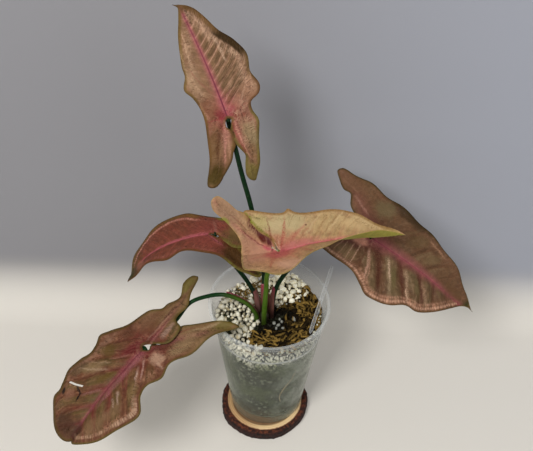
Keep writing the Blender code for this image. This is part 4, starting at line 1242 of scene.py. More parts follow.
# Each blade has the place where its petiole meets it, the ways of its midrib and its upper face, its
# bends in degrees (fold and curl for the left and the right half, each at the lobes, base and tip),
# its outline from the tip to the notch and back, its ribs and veins, and its colours. Patches,
# strokes and margins are what daub, draw and trim take. Besides the skin's own marks, some of them
# are painted shade in folds and vein valleys and painted highlights on ridges, as noted at each leaf.
LEAVES = {}
LEAVES["leaf_top"] = dict(
    at=(-32.5, 21.4, 298.0), toward=(-25, 0, 88), face=(0.1, -0.85, 0.45), size=1.0, length=87, droop=6,
    sway=7, wave=1.3, wavelength=29, fold=((-4, -5, 5), (-4, -5, 5)), curl=((0, 0, 0), (0, 0, -12)),
    tip=(88, 3), apex=(0, 0),
    left=[
        (85, 1), (80, 3), (65, 10), (48, 15), (40, 16), (32, 20), (24, 17), (8, 15), (-6, 17), (-25, 21),
        (-40, 26), (-51, 30), (-53, 25), (-46, 15), (-38, 9), (-30, 5), (-20, 2), (-11, 2), (-6, 3),
        (-2, 2)],
    right=[
        (-2, -2), (-6, -1), (-11, 0), (-20, 0), (-27, -1), (-36, -3), (-42, -1), (-50, 1), (-57, -1),
        (-60, -4), (-57, -6), (-45, -11), (-30, -15), (-18, -18), (-10, -20), (-2, -18), (5, -19),
        (10, -26), (15, -28), (26, -25), (38, -27), (48, -23), (60, -16), (72, -11), (84, -4)],
    lobes=((-0.4, -0.001), (0.25, 0.003)),
    veins=((11, 16.5, 23, 29.5, 35, 41.5, 48, 55, 62, 69, 76), 0.8, 0.003), puff=(0.35, 0.75),
    crinkle=0.22, gutter=0.7, rolls=[(34, 82, -1, 9, 4.0)],
    tuck=([(-7, 1), (-20, 1), (-30, 2)], 1, 6.0, 2.2, 1.0, 1.2),
    skin=dict(
        ground=(142, 106, 78), band=(94, 72, 44), band_amount=0.6, streak=(190, 150, 122),
        streak_amount=0.55, vein_colour=(206, 156, 134), vein_amount=0.5, vein_reach=26.0,
        rib_colour=(178, 94, 104), rib_line=(96, 26, 48), glow_width=5.0, glow_amount=0.85,
        heart=(152, 66, 66), heart_reach=24.0, heart_amount=0.8, net=(214, 174, 142), net_place=5.5,
        net_width=4.5, net_amount=0.75, rim=(92, 68, 34), rim_width=1.6, lobe=(124, 92, 58),
        lobe_amount=0.7, tip=(96, 70, 50), tip_start=84.0, left_share=0.3, right_share=1.0,
        minor_amount=0.0, left_net=0.6, right_net=1.0, lobe_glow=0.25, tip_end=90.0),
    patches=[
        ((8, 11), (13, 7), 0, (122, 76, 52), 0.75), ((36, 12), (15, 6), 0, (170, 138, 106), 0.4),
        ((-18, 15), (20, 6), -18, (112, 80, 46), 0.75), ((-44, 22), (15, 8), -38, (74, 58, 14), 0.92),
        ((-20, -12), (18, 6), 12, (156, 134, 98), 0.7), ((-51, -4), (13, 6), 4, (126, 112, 58), 0.85),
        ((12, -20), (13, 7), 0, (150, 108, 82), 0.7), ((4, 4), (6, 4), 20, (124, 36, 44), 0.7),
        ((5, -4), (6, 4), -30, (170, 84, 88), 0.6), ((66, -8), (12, 4), 24, (160, 122, 94), 0.5)],
    strokes=[
        ((-2, 5, -34, 18), -0.5, 2.2, (84, 44, 20), 0.85),
        ((-1, 2.5, -40, 14), 0.5, 1.2, (200, 140, 122), 0.8),
        ((-8, 3.8, -36, 9), 0.6, 0.9, (184, 134, 110), 0.65),
        ((-14, 9, -44, 20), 0.3, 0.9, (156, 116, 84), 0.5),
        ((0.5, 1, 2, 15), 0, 1.0, (140, 48, 54), 0.75),
        # The next three pale strokes and the one from (22, 10) are painted highlights on the left half.
        ((44, 9.5, 72, 5), 0.8, 0.9, (206, 166, 134), 0.65),
        ((30, 15, 62, 10.5), 0.6, 1.1, (196, 162, 128), 0.55),
        ((2, 12, 20, 14), 0.5, 1.1, (186, 138, 112), 0.5),
        ((20, 3, 46, 12), 0.8, 0.9, (158, 98, 82), 0.5),
        ((22, 10, 42, 12), 1.0, 1.2, (196, 158, 128), 0.5),
        ((8, 2, 26, 13), 0.6, 0.9, (122, 76, 56), 0.45), ((22, 2, 40, 11), 0.6, 0.8, (126, 88, 66), 0.4),
        ((36, 2, 54, 9), 0.5, 0.8, (126, 92, 70), 0.4),
        ((12, -19, 44, -20.5), -1.0, 2.0, (200, 152, 124), 0.5),
        ((13, -2, 21, -9), 0, 0.7, (200, 128, 122), 0.65),
        ((6, -2, 15, -10), 0, 0.8, (188, 108, 106), 0.6),
        ((12, -22, 30, -24), -0.8, 0.9, (196, 152, 124), 0.5),
        ((-3, -2, -36, -3.2), 0.8, 2.0, (158, 72, 68), 0.75),
        ((-3, -3.5, -42, -6), -0.6, 0.9, (206, 150, 126), 0.8),
        ((-6, -6, -30, -9.5), 0, 0.8, (186, 146, 112), 0.5),
        ((0, -2, -5, -17), 0, 1.3, (146, 88, 66), 0.5), ((27, -5, 35, -16), 0.3, 1.2, (84, 58, 30), 0.6),
        ((8, -12, 24, -22), 0, 1.0, (200, 158, 132), 0.5),
        ((40, -12.5, 62, -9.5), -0.8, 1.0, (214, 176, 148), 0.7),
        ((56, -8, 78, -5), -0.5, 0.9, (206, 164, 136), 0.6),
        ((-28, -13, -8, -16), 0.4, 1.4, (182, 158, 120), 0.5),
        ((-10, 6, 4, 13), 0, 1.0, (150, 100, 74), 0.4)],
    margins=[
        # The dark olive stripe from x 38 to 62 on the right is painted shade where that margin rolls back.
        (38, 62, -1, -1, 4.0, (60, 40, 6), 0.98), (60, 86, -1, -1, 2.8, (112, 80, 42), 0.9),
        (20, 38, -1, -1, 1.8, (120, 92, 50), 0.8), (0, 84, 1, -1, 1.8, (120, 94, 48), 0.8),
        (-30, 20, 1, -1, 1.6, (110, 78, 40), 0.8), (-60, 2, -1, -1, 2.0, (112, 98, 46), 0.8),
        (-2, 20, -1, -1, 1.6, (110, 74, 44), 0.8)],
    under=(150, 150, 120), under_ribs=(190, 150, 130), slot="skin_leaf_top")
LEAVES["leaf_right"] = dict(
    at=(78.6, 31.4, 179.0), toward=(80, -52, -14), face=(0.15, -0.45, 0.88), size=0.945, length=98,
    droop=34, sway=0, wave=1.4, wavelength=31, fold=((0, 0, 0), (0, 0, 0)), curl=((0, 0, 0), (0, 0, 0)),
    tip=(106, 3), apex=(0, 0),
    left=[
        (99, 6), (90, 13), (78, 21), (60, 28), (45, 32), (30, 35), (18, 38), (5, 40), (-12, 42),
        (-27, 45), (-45, 45), (-56, 44), (-59, 40), (-52, 33), (-44, 27), (-37, 26), (-31, 17), (-25, 13),
        (-14, 7), (-6, 2)],
    right=[
        (-6, -1), (-20, -4), (-36, -8), (-50, -15), (-57, -21), (-54, -26), (-40, -30), (-24, -31),
        (-8, -33), (5, -35), (14, -40), (23, -46), (32, -45), (44, -40), (54, -33), (64, -31), (76, -22),
        (88, -8), (96, 1), (100, 3)],
    lobes=((-1.14, -0.0077), (0.8, 0.0075)), veins=((8, 31, 49, 64, 77), 0.62, 0.003), puff=(0.7, 2.3),
    crinkle=0.3, gutter=1.0,
    skin=dict(
        ground=(100, 68, 44), band=(104, 86, 56), band_amount=0.85, streak=(152, 124, 96),
        # The dark maroon vein colour is partly the veins' own red and partly painted shade in the sunk
        # valleys.
        streak_amount=0.42, vein_colour=(72, 34, 22), vein_amount=0.75, vein_reach=34.0,
        rib_colour=(148, 76, 80), rib_line=(126, 52, 62), glow_width=10.0, glow_amount=0.8,
        heart=(120, 50, 46), heart_reach=20.0, heart_amount=0.5, net=(190, 138, 108), net_place=4.0,
        net_width=4.5, net_amount=0.85, rim=(96, 74, 36), rim_width=0.7, lobe=(108, 80, 50),
        lobe_amount=0.6, tip=(50, 48, 16), tip_start=93.0, left_share=0.2, right_share=0.75,
        minor_amount=0.1, left_net=0.15, right_net=1.0, lobe_glow=0.35, tip_end=98.0),
    patches=[
        ((18, 35), (28, 7), -8, (54, 38, 14), 0.8), ((-4, 30), (13, 11), 0, (112, 98, 66), 0.6),
        ((-44, 34), (17, 8), 8, (114, 82, 56), 0.6), ((34, 20), (12, 8), 40, (98, 76, 44), 0.5),
        ((52, 14), (10, 6), 50, (112, 92, 60), 0.5), ((80, 4), (14, 7), 0, (92, 62, 36), 0.6),
        ((34, -20), (13, 4.5), -62, (102, 88, 52), 0.75),
        ((55, -14), (11, 4.5), -56, (106, 90, 56), 0.65), ((-10, -22), (13, 9), 0, (138, 110, 76), 0.85),
        # The bright pink patch at (-7, -6) is partly the base's own pink and partly painted light over the
        # shadow that leaf_centre casts there.
        ((-7, -6), (10, 6), 0, (214, 148, 120), 0.85), ((78, -8), (12, 6), 40, (104, 72, 48), 0.6)],
    strokes=[
        # These strokes alternate dark maroon and pale: painted shade in the sunk vein valleys and painted
        # highlights on the puffed ridges between them.
        ((8, -4, 31, -42), 1.5, 3.6, (76, 34, 20), 0.95),
        ((4, -9, 16, -38), 0.8, 1.3, (188, 142, 118), 0.8),
        ((9, -16, 19, -38), 0.5, 0.9, (170, 124, 100), 0.7),
        ((20, -7, 40, -37), 1.0, 2.0, (146, 122, 92), 0.8),
        ((22, -8, 34, -26), 0.3, 0.8, (204, 168, 140), 0.8),
        ((28, -3, 40, -26), 0.5, 1.4, (86, 52, 30), 0.6),
        ((30, -3, 51, -32), 1.0, 2.0, (82, 38, 24), 0.85),
        ((38, -7, 55, -31), 0.8, 1.3, (170, 138, 108), 0.75),
        ((47, -20, 54, -30), 0, 0.8, (210, 168, 138), 0.8),
        ((48, -3, 68, -25), 0.8, 1.8, (82, 42, 28), 0.85),
        ((55, -7, 70, -24), 0.6, 1.5, (158, 122, 94), 0.65),
        ((64, -2, 80, -17), 0.5, 1.0, (86, 50, 32), 0.6),
        ((-4, -10, -2, -31), 0, 0.7, (206, 160, 132), 0.85),
        ((-9, -12, -8, -30), 0, 0.7, (198, 152, 124), 0.8),
        ((-14, -13, -15, -29), 0, 0.6, (188, 144, 114), 0.75),
        ((-6.5, -13, -5.5, -31), 0.4, 0.5, (94, 56, 38), 0.75),
        ((-11.5, -14, -11.5, -30), 0.3, 0.5, (92, 56, 38), 0.75),
        ((-18, -14, -21, -27), 0, 0.6, (178, 136, 106), 0.7),
        # From (36, 6) on, the dark strokes on the left half are painted shade in the vein valleys and the
        # olive ones beside them painted highlights on the ridges.
        ((2, -8, 6, -32), 0, 0.9, (92, 48, 32), 0.6), ((36, 6, 46, 24), 0.5, 1.5, (66, 44, 20), 0.65),
        ((40, 6, 49, 21), 0.5, 1.9, (132, 110, 78), 0.5), ((52, 5, 61, 18), 0, 1.3, (70, 48, 24), 0.6),
        ((55, 5, 65, 16), 0, 1.6, (128, 102, 72), 0.45), ((64, 4, 73, 14), 0, 1.2, (74, 50, 26), 0.55),
        ((42, 27.5, 63, 22), 0.4, 1.2, (170, 126, 96), 0.65),
        ((20, 17, 31, 31), 0, 2.0, (118, 96, 62), 0.45),
        ((-33, 27, -12, 17), 0, 1.3, (176, 130, 110), 0.5),
        ((-52, 36, -30, 30), 0.5, 1.2, (140, 100, 76), 0.5),
        ((-22, 20, -16, 38), 0, 1.2, (88, 60, 36), 0.4)],
    margins=[
        (-20, 92, -1, 1.4, 6.2, (168, 118, 92), 0.5), (-30, 98, -1, 2.2, 3.6, (214, 164, 134), 0.8),
        (10, 80, -1, 5.4, 6.6, (196, 148, 120), 0.5), (-58, 50, 1, -1, 1.2, (70, 54, 20), 0.8),
        (-2, 40, 1, -1, 2.4, (54, 38, 12), 0.7), (-40, 94, -1, -1, 0.8, (96, 66, 34), 0.8)],
    under=(120, 120, 84), under_ribs=(150, 110, 90), slot="skin_leaf_right")
LEAVES["leaf_centre"] = dict(
    at=(6.3, -7.4, 200.6), toward=(90, -3, 22), face=(0, -0.45, 0.9), size=1.0, length=96, droop=0,
    sway=0, wave=1.0, wavelength=27, fold=((25, 25, 20), (40, 40, 100)), curl=((0, 0, 0), (0, 0, 0)),
    tip=(92, 1), apex=(-1, 0),
    left=[
        (84, 6), (72, 12), (60, 20), (48, 25), (30, 26), (15, 27), (10, 30), (7, 28), (-8, 30), (-23, 33),
        (-23, 31), (-19, 25), (-15, 19.5), (-11.5, 15.5), (-7, 12.6), (-4.3, 9), (-3.0, 5.2), (-1.8, 2)],
    right=[
        (-2.3, 1.6), (-3.9, 5.2), (-7.5, 10.6), (-12.8, 14.6), (-18, 20.5), (-22, 26), (-27, 33),
        (-34, 41), (-41, 46), (-46, 44), (-46, 37), (-38, 27), (-31, 17), (-28, 8), (-29, 0), (-28, -10),
        (-24, -20), (-15, -23), (-8, -26), (-3, -30), (4, -32), (11, -29), (20, -21), (30, -14),
        (42, -14), (56, -14), (70, -11), (84, -5)],
    midline=((0, 8, 22, 45, 62, 80, 92), (0, 0.6, 3.0, 3.8, 3.0, 1.6, 1.0)), lobes=((-0.22, 0.0175),),
    veins=((0, 8, 17, 27, 35, 44, 54, 64, 74, 84), 0.55, 0.004), puff=(0.8, 0.6), crinkle=0.2, gutter=0.6,
    tuck=(
        [(-2, 1), (-4.2, 6), (-7.5, 11), (-12, 14.6), (-18, 22), (-22.5, 28.5), (-29, 37)], 1, 8.0, 2.0,
        5.5, 1.0),
    skin=dict(
        ground=(176, 140, 98), band=(186, 162, 112), band_amount=0.7, streak=(184, 150, 106),
        streak_amount=0.25, vein_colour=(156, 108, 78), vein_amount=0.35, vein_reach=20.0,
        rib_colour=(186, 96, 100), rib_line=(190, 96, 100), glow_width=4.5, glow_amount=0.85,
        heart=(176, 92, 84), heart_reach=30.0, heart_amount=0.6, net=(206, 160, 116), net_place=4.0,
        net_width=3.0, net_amount=0.3, rim=(176, 140, 92), rim_width=0.5, lobe=(158, 116, 90),
        lobe_amount=0.7, tip=(172, 152, 74), tip_start=70.0, left_share=0.7, right_share=0.3,
        minor_amount=0.1, lobe_glow=0.4, tip_end=92.0),
    patches=[
        ((6, 20), (25, 10), 0, (184, 166, 122), 0.85), ((62, 13), (22, 8), -12, (196, 166, 118), 0.85),
        ((62, -8), (16, 5), 0, (156, 108, 78), 0.6), ((36, 18), (14, 9), 10, (184, 156, 108), 0.6),
        ((-12, 23), (10, 7), -35, (180, 164, 108), 0.8), ((14, 4.5), (18, 3.6), 9, (186, 110, 104), 0.65),
        ((-16, -4), (12, 12), 0, (176, 126, 104), 0.5), ((9, -20), (14, 9), -20, (204, 156, 128), 0.7),
        ((0, -4), (14, 7), 0, (172, 80, 80), 0.75), ((35, -7), (8, 7), 0, (190, 160, 118), 0.5),
        ((-35, 34), (14, 8), -55, (150, 116, 88), 0.85),
        ((-37.5, 27), (4.5, 3.2), -50, (124, 124, 44), 0.85),
        # The dark maroon patches at (-12.5, 10.3) and (-7, 5.8) are painted shadow on the lobe beneath the
        # overlapping left half.
        ((-22, 8), (8, 9), -30, (164, 116, 92), 0.6), ((-12.5, 10.3), (7.5, 2.3), -48, (88, 26, 14), 1.0),
        ((-7, 5.8), (3.2, 2.4), -60, (82, 24, 24), 1.0), ((-9.5, 3), (4, 1.8), -40, (180, 96, 90), 0.7),
        ((21.5, 17), (1.0, 0.9), 0, (70, 48, 26), 0.9)],
    strokes=[
        ((0.5, 1, 7, 26), -0.8, 1.4, (162, 80, 66), 0.85),
        ((-6, 7, -6.5, 26), -0.6, 1.0, (116, 56, 38), 0.8),
        ((3, 1, 24, 19), 1.2, 1.9, (170, 96, 80), 0.65),
        ((12, 4, 35, 23), 1.2, 1.3, (160, 108, 78), 0.55),
        ((25, 6, 39, 22), 0.8, 0.9, (142, 104, 64), 0.6),
        ((32, 7, 47, 23), 0.8, 0.9, (142, 106, 66), 0.55),
        ((40, 7, 55, 22), 0.8, 0.9, (146, 110, 70), 0.5),
        ((49, 8, 64, 19), 0.6, 0.8, (150, 114, 74), 0.45),
        ((20, 9, 35, 25), 0.8, 1.2, (212, 190, 142), 0.5),
        ((37, 10, 51, 24), 0.8, 1.2, (214, 188, 140), 0.5),
        ((-4, -4, -6, -23), 0.3, 1.8, (158, 82, 66), 0.6),
        ((17, -3, 27, -13), 0.3, 1.8, (162, 90, 74), 0.6),
        ((5, -3, 17, -19), 0.5, 1.2, (176, 98, 82), 0.5),
        ((-6, -2, -26, -8), 0.5, 1.3, (168, 96, 80), 0.5),
        # The dark maroon stroke from (-21, 22.5) and the one from (-6, 6) are painted shadow along the seam
        # under the overlapping left half.
        ((-21, 22.5, -5.5, 6), -1.0, 1.6, (84, 26, 24), 1.0),
        ((-27, 20, -8, 2.5), -1.0, 0.8, (108, 46, 40), 0.85),
        ((-12, 5.5, -6, 1.5), 0, 1.7, (182, 78, 90), 0.85),
        ((-34, 32, -18, 12), 0.8, 0.7, (126, 72, 58), 0.6),
        ((-22.4, 32, -14, 20), 0, 1.3, (124, 130, 34), 1.0),
        ((-15, 20.8, -6, 12.6), 0, 1.3, (112, 106, 34), 1.0), ((-6, 6, -5, 0), 0, 1.0, (80, 24, 22), 1.0),
        ((0.3, 0.6, -3.4, 8), 0, 0.6, (208, 168, 148), 0.75),
        ((0.6, 1, -0.6, 10), 0, 0.6, (200, 158, 130), 0.6),
        ((-0.4, -0.2, -6.5, 2.6), 0.3, 0.6, (178, 186, 148), 0.9)],
    margins=[(-24, 84, 1, -1, 1.5, (134, 98, 50), 0.85), (-30, 45, -1, -1, 1.1, (128, 112, 54), 0.7)],
    under=(148, 140, 40), under_ribs=(160, 150, 70), slot="skin_leaf_centre")
LEAVES["leaf_left"] = dict(
    at=(-49.0, 28.9, 180.7), toward=(-69, -7, -3), face=(0, -0.05, 1), size=1.0, length=96, droop=72,
    sway=0, wave=0.9, wavelength=33, fold=((0, 0, 0), (0, 0, 0)), curl=((0, 0, 0), (0, 0, 0)),
    tip=(91, 2), apex=(-1, 0),
    left=[
        (82, 8), (74, 10), (60, 9), (48, 12), (35, 16), (22, 14), (8, 17), (-4, 22), (-18, 36), (-27, 43),
        (-35, 48), (-38, 45), (-33, 36), (-26, 24), (-18, 15), (-12, 9), (-6, 4)],
    right=[
        (-6, 1), (-12, 6), (-18, 12), (-26, 15), (-38, 14), (-50, 6), (-52, 0), (-44, -7), (-28, -11),
        (-14, -15), (-4, -19), (8, -22), (18, -26), (30, -28), (45, -25), (60, -21), (72, -13), (82, -3)],
    lobes=((-1.387, -0.003), (-0.08, 0.0)), veins=(12.0, 0.8, 0.004), puff=(0.25, 0.3), crinkle=0.14,
    gutter=0.6, tuck=([(-6, 2.5), (-12, 7.5), (-18, 13.5), (-26, 19), (-40, 28)], -1, 12.0, 4.5, 7.0, 1.5),
    skin=dict(
        ground=(120, 62, 44), band=(106, 60, 42), band_amount=0.5, streak=(142, 86, 66),
        streak_amount=0.25, vein_colour=(156, 78, 72), vein_amount=0.25, vein_reach=20.0,
        rib_colour=(164, 78, 84), rib_line=(178, 92, 98), glow_width=2.6, glow_amount=0.8,
        heart=(140, 64, 58), heart_reach=22.0, heart_amount=0.6, net=(178, 116, 98), net_place=4.0,
        net_width=2.4, net_amount=0.3, rim=(92, 62, 26), rim_width=1.8, lobe=(84, 56, 26),
        lobe_amount=0.85, tip=(58, 54, 8), tip_start=60.0, minor_amount=0.3, lobe_glow=0.1, tip_end=78.0),
    patches=[
        # The two dark olive patches on the left lobe are partly its own colour and partly painted shade
        # where the lobe turns away.
        ((-18, 27), (19, 11), -55, (72, 46, 12), 0.95), ((-36, 44), (6, 4), -30, (70, 54, 18), 0.9),
        ((-24, 2), (20, 12), 10, (110, 86, 46), 0.9), ((66, 3), (8, 5), -30, (166, 108, 86), 0.5)],
    strokes=[
        ((-22, 18, -7, 6.5), 0.4, 0.9, (196, 136, 114), 0.75),
        ((54, -9, 60, 7), 0, 1.4, (98, 46, 30), 0.5), ((-6, -1, -4, -16), 0, 1.2, (160, 108, 90), 0.6),
        ((8, -3, 26, -20), 0.6, 0.8, (104, 50, 36), 0.4),
        ((28, -3, 44, -19), 0.6, 0.8, (104, 52, 38), 0.4),
        ((24, 3, 34, 13), 0.3, 0.8, (108, 54, 40), 0.4),
        ((2, -1.6, 50, -1.4), 0.5, 1.0, (176, 92, 98), 0.6)],
    margins=[
        (8, 80, -1, -1, 3.8, (110, 80, 36), 0.85), (8, 74, -1, 4.6, 6.4, (204, 140, 120), 0.8),
        (-55, -8, -1, -1, 2.4, (126, 130, 40), 0.9), (-55, -10, 1, -1, 2.0, (112, 106, 42), 0.7),
        (-10, 60, 1, -1, 1.6, (96, 58, 22), 0.8)],
    under=(140, 120, 84), under_ribs=(170, 130, 100), slot="skin_leaf_left")
LEAVES["leaf_low"] = dict(
    at=(-95.0, -48.2, 131.2), toward=(-52, -58, -14), face=(-0.235, -0.103, 0.967), size=0.904, length=98,
    droop=32, sway=0, wave=1.4, wavelength=35, fold=((0, 0, 0), (0, 0, 0)), curl=((0, 0, 0), (0, 0, 0)),
    tip=(93, 1), apex=(0, 0),
    left=[
        (94, 4), (85, 18), (70, 30), (55, 38), (41, 41), (30, 32), (20, 29), (8, 33), (-4, 30), (-20, 36),
        (-40, 38), (-55, 43), (-67, 49), (-67, 45), (-60, 33), (-51, 21), (-40, 13), (-33, 11), (-25, 11),
        (-15, 9), (-8, 4), (-3, 4)],
    right=[
        (-3, -3), (-7, -2), (-11, 2), (-17, 7), (-26, 9), (-34, 7), (-38, 0), (-45, -3), (-55, -3),
        (-65, -9), (-76, -15), (-84, -21), (-82, -25), (-70, -24), (-58, -17), (-46, -20), (-39, -19),
        (-30, -27), (-20, -31), (-5, -33), (5, -39), (13, -45), (22, -40), (30, -37), (40, -41),
        (52, -45), (62, -40), (68, -37), (76, -38), (90, -27), (97, -8), (96, -2)],
    lobes=((-0.637, 0.0009), (0.155, -0.0014)), veins=((2, 22, 42, 60, 76), 0.85, 0.003), puff=(1.0, 1.3),
    crinkle=0.3, gutter=1.2,
    tears=[[(53.0, -20.0), (55.7, -27.0), (57.6, -34.8), (59.4, -35.2), (57.6, -27.4), (54.6, -20.0)]],
    tuck=([(-3, 0), (-8, 3), (-17, 8), (-26, 10), (-34, 9), (-46, 6)], -1, 10.0, 6.0, 3.0, 2.8),
    skin=dict(
        ground=(104, 62, 40), band=(98, 78, 42), band_amount=0.85, streak=(140, 106, 74),
        streak_amount=0.4, vein_colour=(104, 34, 34), vein_amount=0.75, vein_reach=22.0,
        rib_colour=(156, 88, 90), rib_line=(96, 24, 40), glow_width=5.0, glow_amount=0.7,
        heart=(116, 42, 42), heart_reach=30.0, heart_amount=0.75, net=(176, 126, 98), net_place=7.0,
        net_width=5.0, net_amount=0.85, rim=(84, 66, 26), rim_width=0.9, lobe=(140, 112, 74),
        lobe_amount=0.7, tip=(112, 80, 52), tip_start=92.0, minor_amount=0.45, left_net=1.0,
        right_net=0.7, tip_end=100.0),
    patches=[
        ((-20, 24), (17, 8), -10, (150, 124, 88), 0.65), ((-58, 38), (14, 7), -32, (108, 94, 42), 0.85),
        ((-2, 17), (8, 9), 0, (190, 150, 122), 0.75), ((31, 22), (10, 6), 30, (118, 94, 56), 0.65),
        ((54, 20), (12, 7), -10, (132, 100, 70), 0.5), ((-30, -16), (24, 7), 16, (100, 62, 40), 0.6),
        ((72, 12), (17, 9), -30, (126, 94, 64), 0.6), ((85, 1), (11, 6), 0, (66, 34, 24), 0.85),
        ((4, -7), (14, 7), -30, (98, 26, 28), 0.75), ((-72, -20), (15, 6), 12, (122, 108, 56), 0.9),
        # The pale patch at (-26, 1.5) is partly the paler rolled-up lobe margin and partly a painted
        # highlight on it.
        ((-26, 1.5), (11, 3), 0, (172, 138, 120), 0.65), ((-22, -19), (16, 7), 10, (118, 82, 58), 0.6),
        ((19, -24), (8, 9), -55, (92, 68, 26), 0.75), ((13, -34), (9, 4), -20, (144, 108, 84), 0.5),
        ((38, -25), (14, 6), -50, (134, 108, 74), 0.6), ((36, -8), (13, 4), -25, (98, 74, 30), 0.75),
        ((66, -26), (8, 6), 0, (134, 92, 70), 0.6), ((86, -12), (13, 17), 0, (74, 44, 28), 0.85),
        ((44, -36), (12, 7), -10, (92, 68, 46), 0.7), ((-4, -24), (11, 8), 10, (92, 56, 36), 0.7),
        ((-30, 24), (13, 7), -12, (150, 118, 84), 0.65), ((67, -33), (4, 1.6), 20, (26, 14, 6), 0.95),
        ((58.4, -20.5), (3.8, 0.9), 62, (22, 8, 4), 1.0), ((62.8, -17), (4.4, 0.9), 17, (22, 8, 4), 1.0)],
    strokes=[
        ((-3, -3, -50, -13), 0.5, 1.0, (80, 32, 24), 0.75),
        ((-3, -2, -46, -8), 0.4, 0.9, (94, 38, 32), 0.65),
        ((-8, -4.5, -44, -10), 0.4, 0.8, (172, 130, 108), 0.55),
        ((-6, -1, -38, -5), 0, 0.9, (176, 116, 104), 0.5),
        ((-54.5, -2, -54.5, -15), 0.5, 0.8, (60, 48, 22), 0.85),
        ((-62, -15, -42, -17), 0, 2.2, (80, 54, 30), 0.7),
        ((-36, 2.5, -13, 5.5), 1.4, 1.1, (60, 56, 20), 0.85),
        ((10, -6, 24, -19), 0.5, 1.4, (160, 110, 92), 0.65),
        ((5, -3, 16, -22), 0.5, 1.3, (92, 30, 26), 0.65),
        ((30, -12, 46, -37), 0.8, 1.2, (180, 150, 120), 0.55),
        ((25, -14, 38, -36), 0.6, 1.0, (166, 136, 106), 0.5),
        ((46, -4, 61, -17), 0.5, 1.5, (162, 114, 102), 0.65),
        ((41, -3, 56, -22), 0.5, 1.0, (100, 44, 36), 0.55),
        ((56, -25.5, 61, -17), 0, 1.0, (20, 8, 4), 1.0),
        ((58.5, -18.6, 68, -15.6), 0, 1.0, (20, 8, 4), 1.0),
        ((62, -4, 82, -20), 0.5, 1.1, (128, 90, 74), 0.5),
        ((-6, 7, -46, 20), 0.8, 1.0, (128, 66, 54), 0.65),
        ((-3, 9, -25, 29), 0.8, 1.0, (138, 78, 64), 0.55),
        ((-8, 6.5, -34, 13.5), 0.3, 0.8, (142, 80, 68), 0.5),
        ((-60, 35, -36, 17), 0.5, 1.5, (174, 146, 110), 0.65),
        ((1, 19, 2, 29), 0, 1.3, (196, 162, 138), 0.55),
        ((2, 3.2, 62, 4), 0.4, 3.2, (172, 104, 110), 0.6),
        ((6, 8, 22, 21), 0.5, 1.1, (198, 158, 140), 0.6),
        ((13, 9, 31, 23), 0.6, 1.2, (180, 140, 118), 0.5),
        # The pale strokes from (17, 12), (39, 11) and (46, 11) are painted highlights on the puffed skin.
        ((17, 12, 24, 16.5), 0, 1.0, (214, 180, 162), 0.6),
        ((21, 4, 37, 19), 0.4, 1.1, (130, 60, 56), 0.65),
        ((39, 11, 47, 20), 0, 1.3, (190, 160, 144), 0.55),
        ((46, 11, 51, 19), 0, 1.3, (180, 150, 132), 0.5),
        ((41, 4, 57, 18), 0.4, 1.0, (130, 64, 58), 0.55), ((60, 4, 74, 16), 0.4, 0.9, (126, 66, 56), 0.5),
        ((4, -1.8, 72, -1.6), 0, 1.2, (106, 34, 36), 0.7),
        ((5, 1.1, 86, 1.1), 0, 0.55, (92, 20, 34), 0.75)],
    margins=[
        (34, 60, 1, 3.0, 6.6, (206, 168, 140), 0.65), (56, 96, 1, 4.0, 6.0, (196, 154, 124), 0.6),
        (-70, 96, 1, -1, 1.4, (96, 80, 32), 0.75), (-84, -30, -1, -1, 1.8, (96, 80, 34), 0.8),
        (-30, 98, -1, -1, 2.4, (84, 64, 26), 0.85), (0, 60, -1, 3.0, 5.0, (156, 116, 90), 0.45)],
    under=(130, 120, 84), under_ribs=(160, 120, 100), slot="skin_leaf_low")

for seed, (name, leaf) in enumerate(LEAVES.items()):
    points, faces, look_of, drawn, fields = blade(leaf, SHEET_STEP, LEAF_THICK, 1.7 * seed)
    skin_look = leaf_material(name, leaf["skin"], leaf["patches"], leaf["strokes"], leaf["margins"])
    piece = add_piece(name + "_blade", points, faces, skin_look)
    mesh = piece.data
    mesh.materials.append(under_material(name, leaf["under"], leaf["under_ribs"]))
    mesh.polygons.foreach_set("material_index", look_of)
    for key, values in fields.items():
        store(piece, key, np.concatenate([values, values]))
    spots = np.zeros((2 * len(drawn), 3), np.float32)
    spots[:len(drawn), :2] = drawn
    spots[len(drawn):, :2] = drawn
    mesh.attributes.new("flat", "FLOAT_VECTOR", "POINT").data.foreach_set("vector", spots.ravel())
    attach(piece, "root")
    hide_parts(name)

# Crown. The short thick stem that all the petioles rise from, ringed with old leaf scars. It is
# planted in the soil.

crown_low, crown_high = cad_corners("crown")
CROWN_X, CROWN_Y = (crown_low[0] + crown_high[0]) / 2, (crown_low[1] + crown_high[1]) / 2
CROWN_RADIUS = (crown_high[0] - crown_low[0]) / 2
CROWN_FOOT, CROWN_RINGS, CROWN_Z = 100.0, 112.0, crown_high[2]

crown_profile = [(0.0, CROWN_FOOT), (CROWN_RADIUS, CROWN_FOOT), (CROWN_RADIUS, CROWN_RINGS)]
for k in range(33):
    z = CROWN_RINGS + k * (CROWN_Z - CROWN_RINGS - 1.0) / 32
    ring = 0.25 * abs(math.sin(math.pi * (z - CROWN_RINGS) / 2.6)) ** 0.5
    crown_profile.append((CROWN_RADIUS - 0.3 + ring - 1.2 * max(0.0, (z - 122.0) / 4.0) ** 2, z))
crown_profile += [(CROWN_RADIUS * 0.5, CROWN_Z - 0.4), (0.0, CROWN_Z)]
crown_look, tree, shader, place = new_material("green_crown")
skin = noise(tree, place, 500.0, 3.0)
colour = mixed(tree, fade(tree, skin, 0.35, 0.7), srgb(34, 34, 16), srgb(52, 34, 22))
plug(tree, shader, Base_Color=colour, Roughness=fade(tree, skin, 0.2, 0.8, 0.4, 0.7),
     Normal=bump(tree, skin, 0.0005, 0.6))
piece = add_piece("crown_stem", *turned(crown_profile, 40, CROWN_X, CROWN_Y), crown_look)
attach(piece, "root")
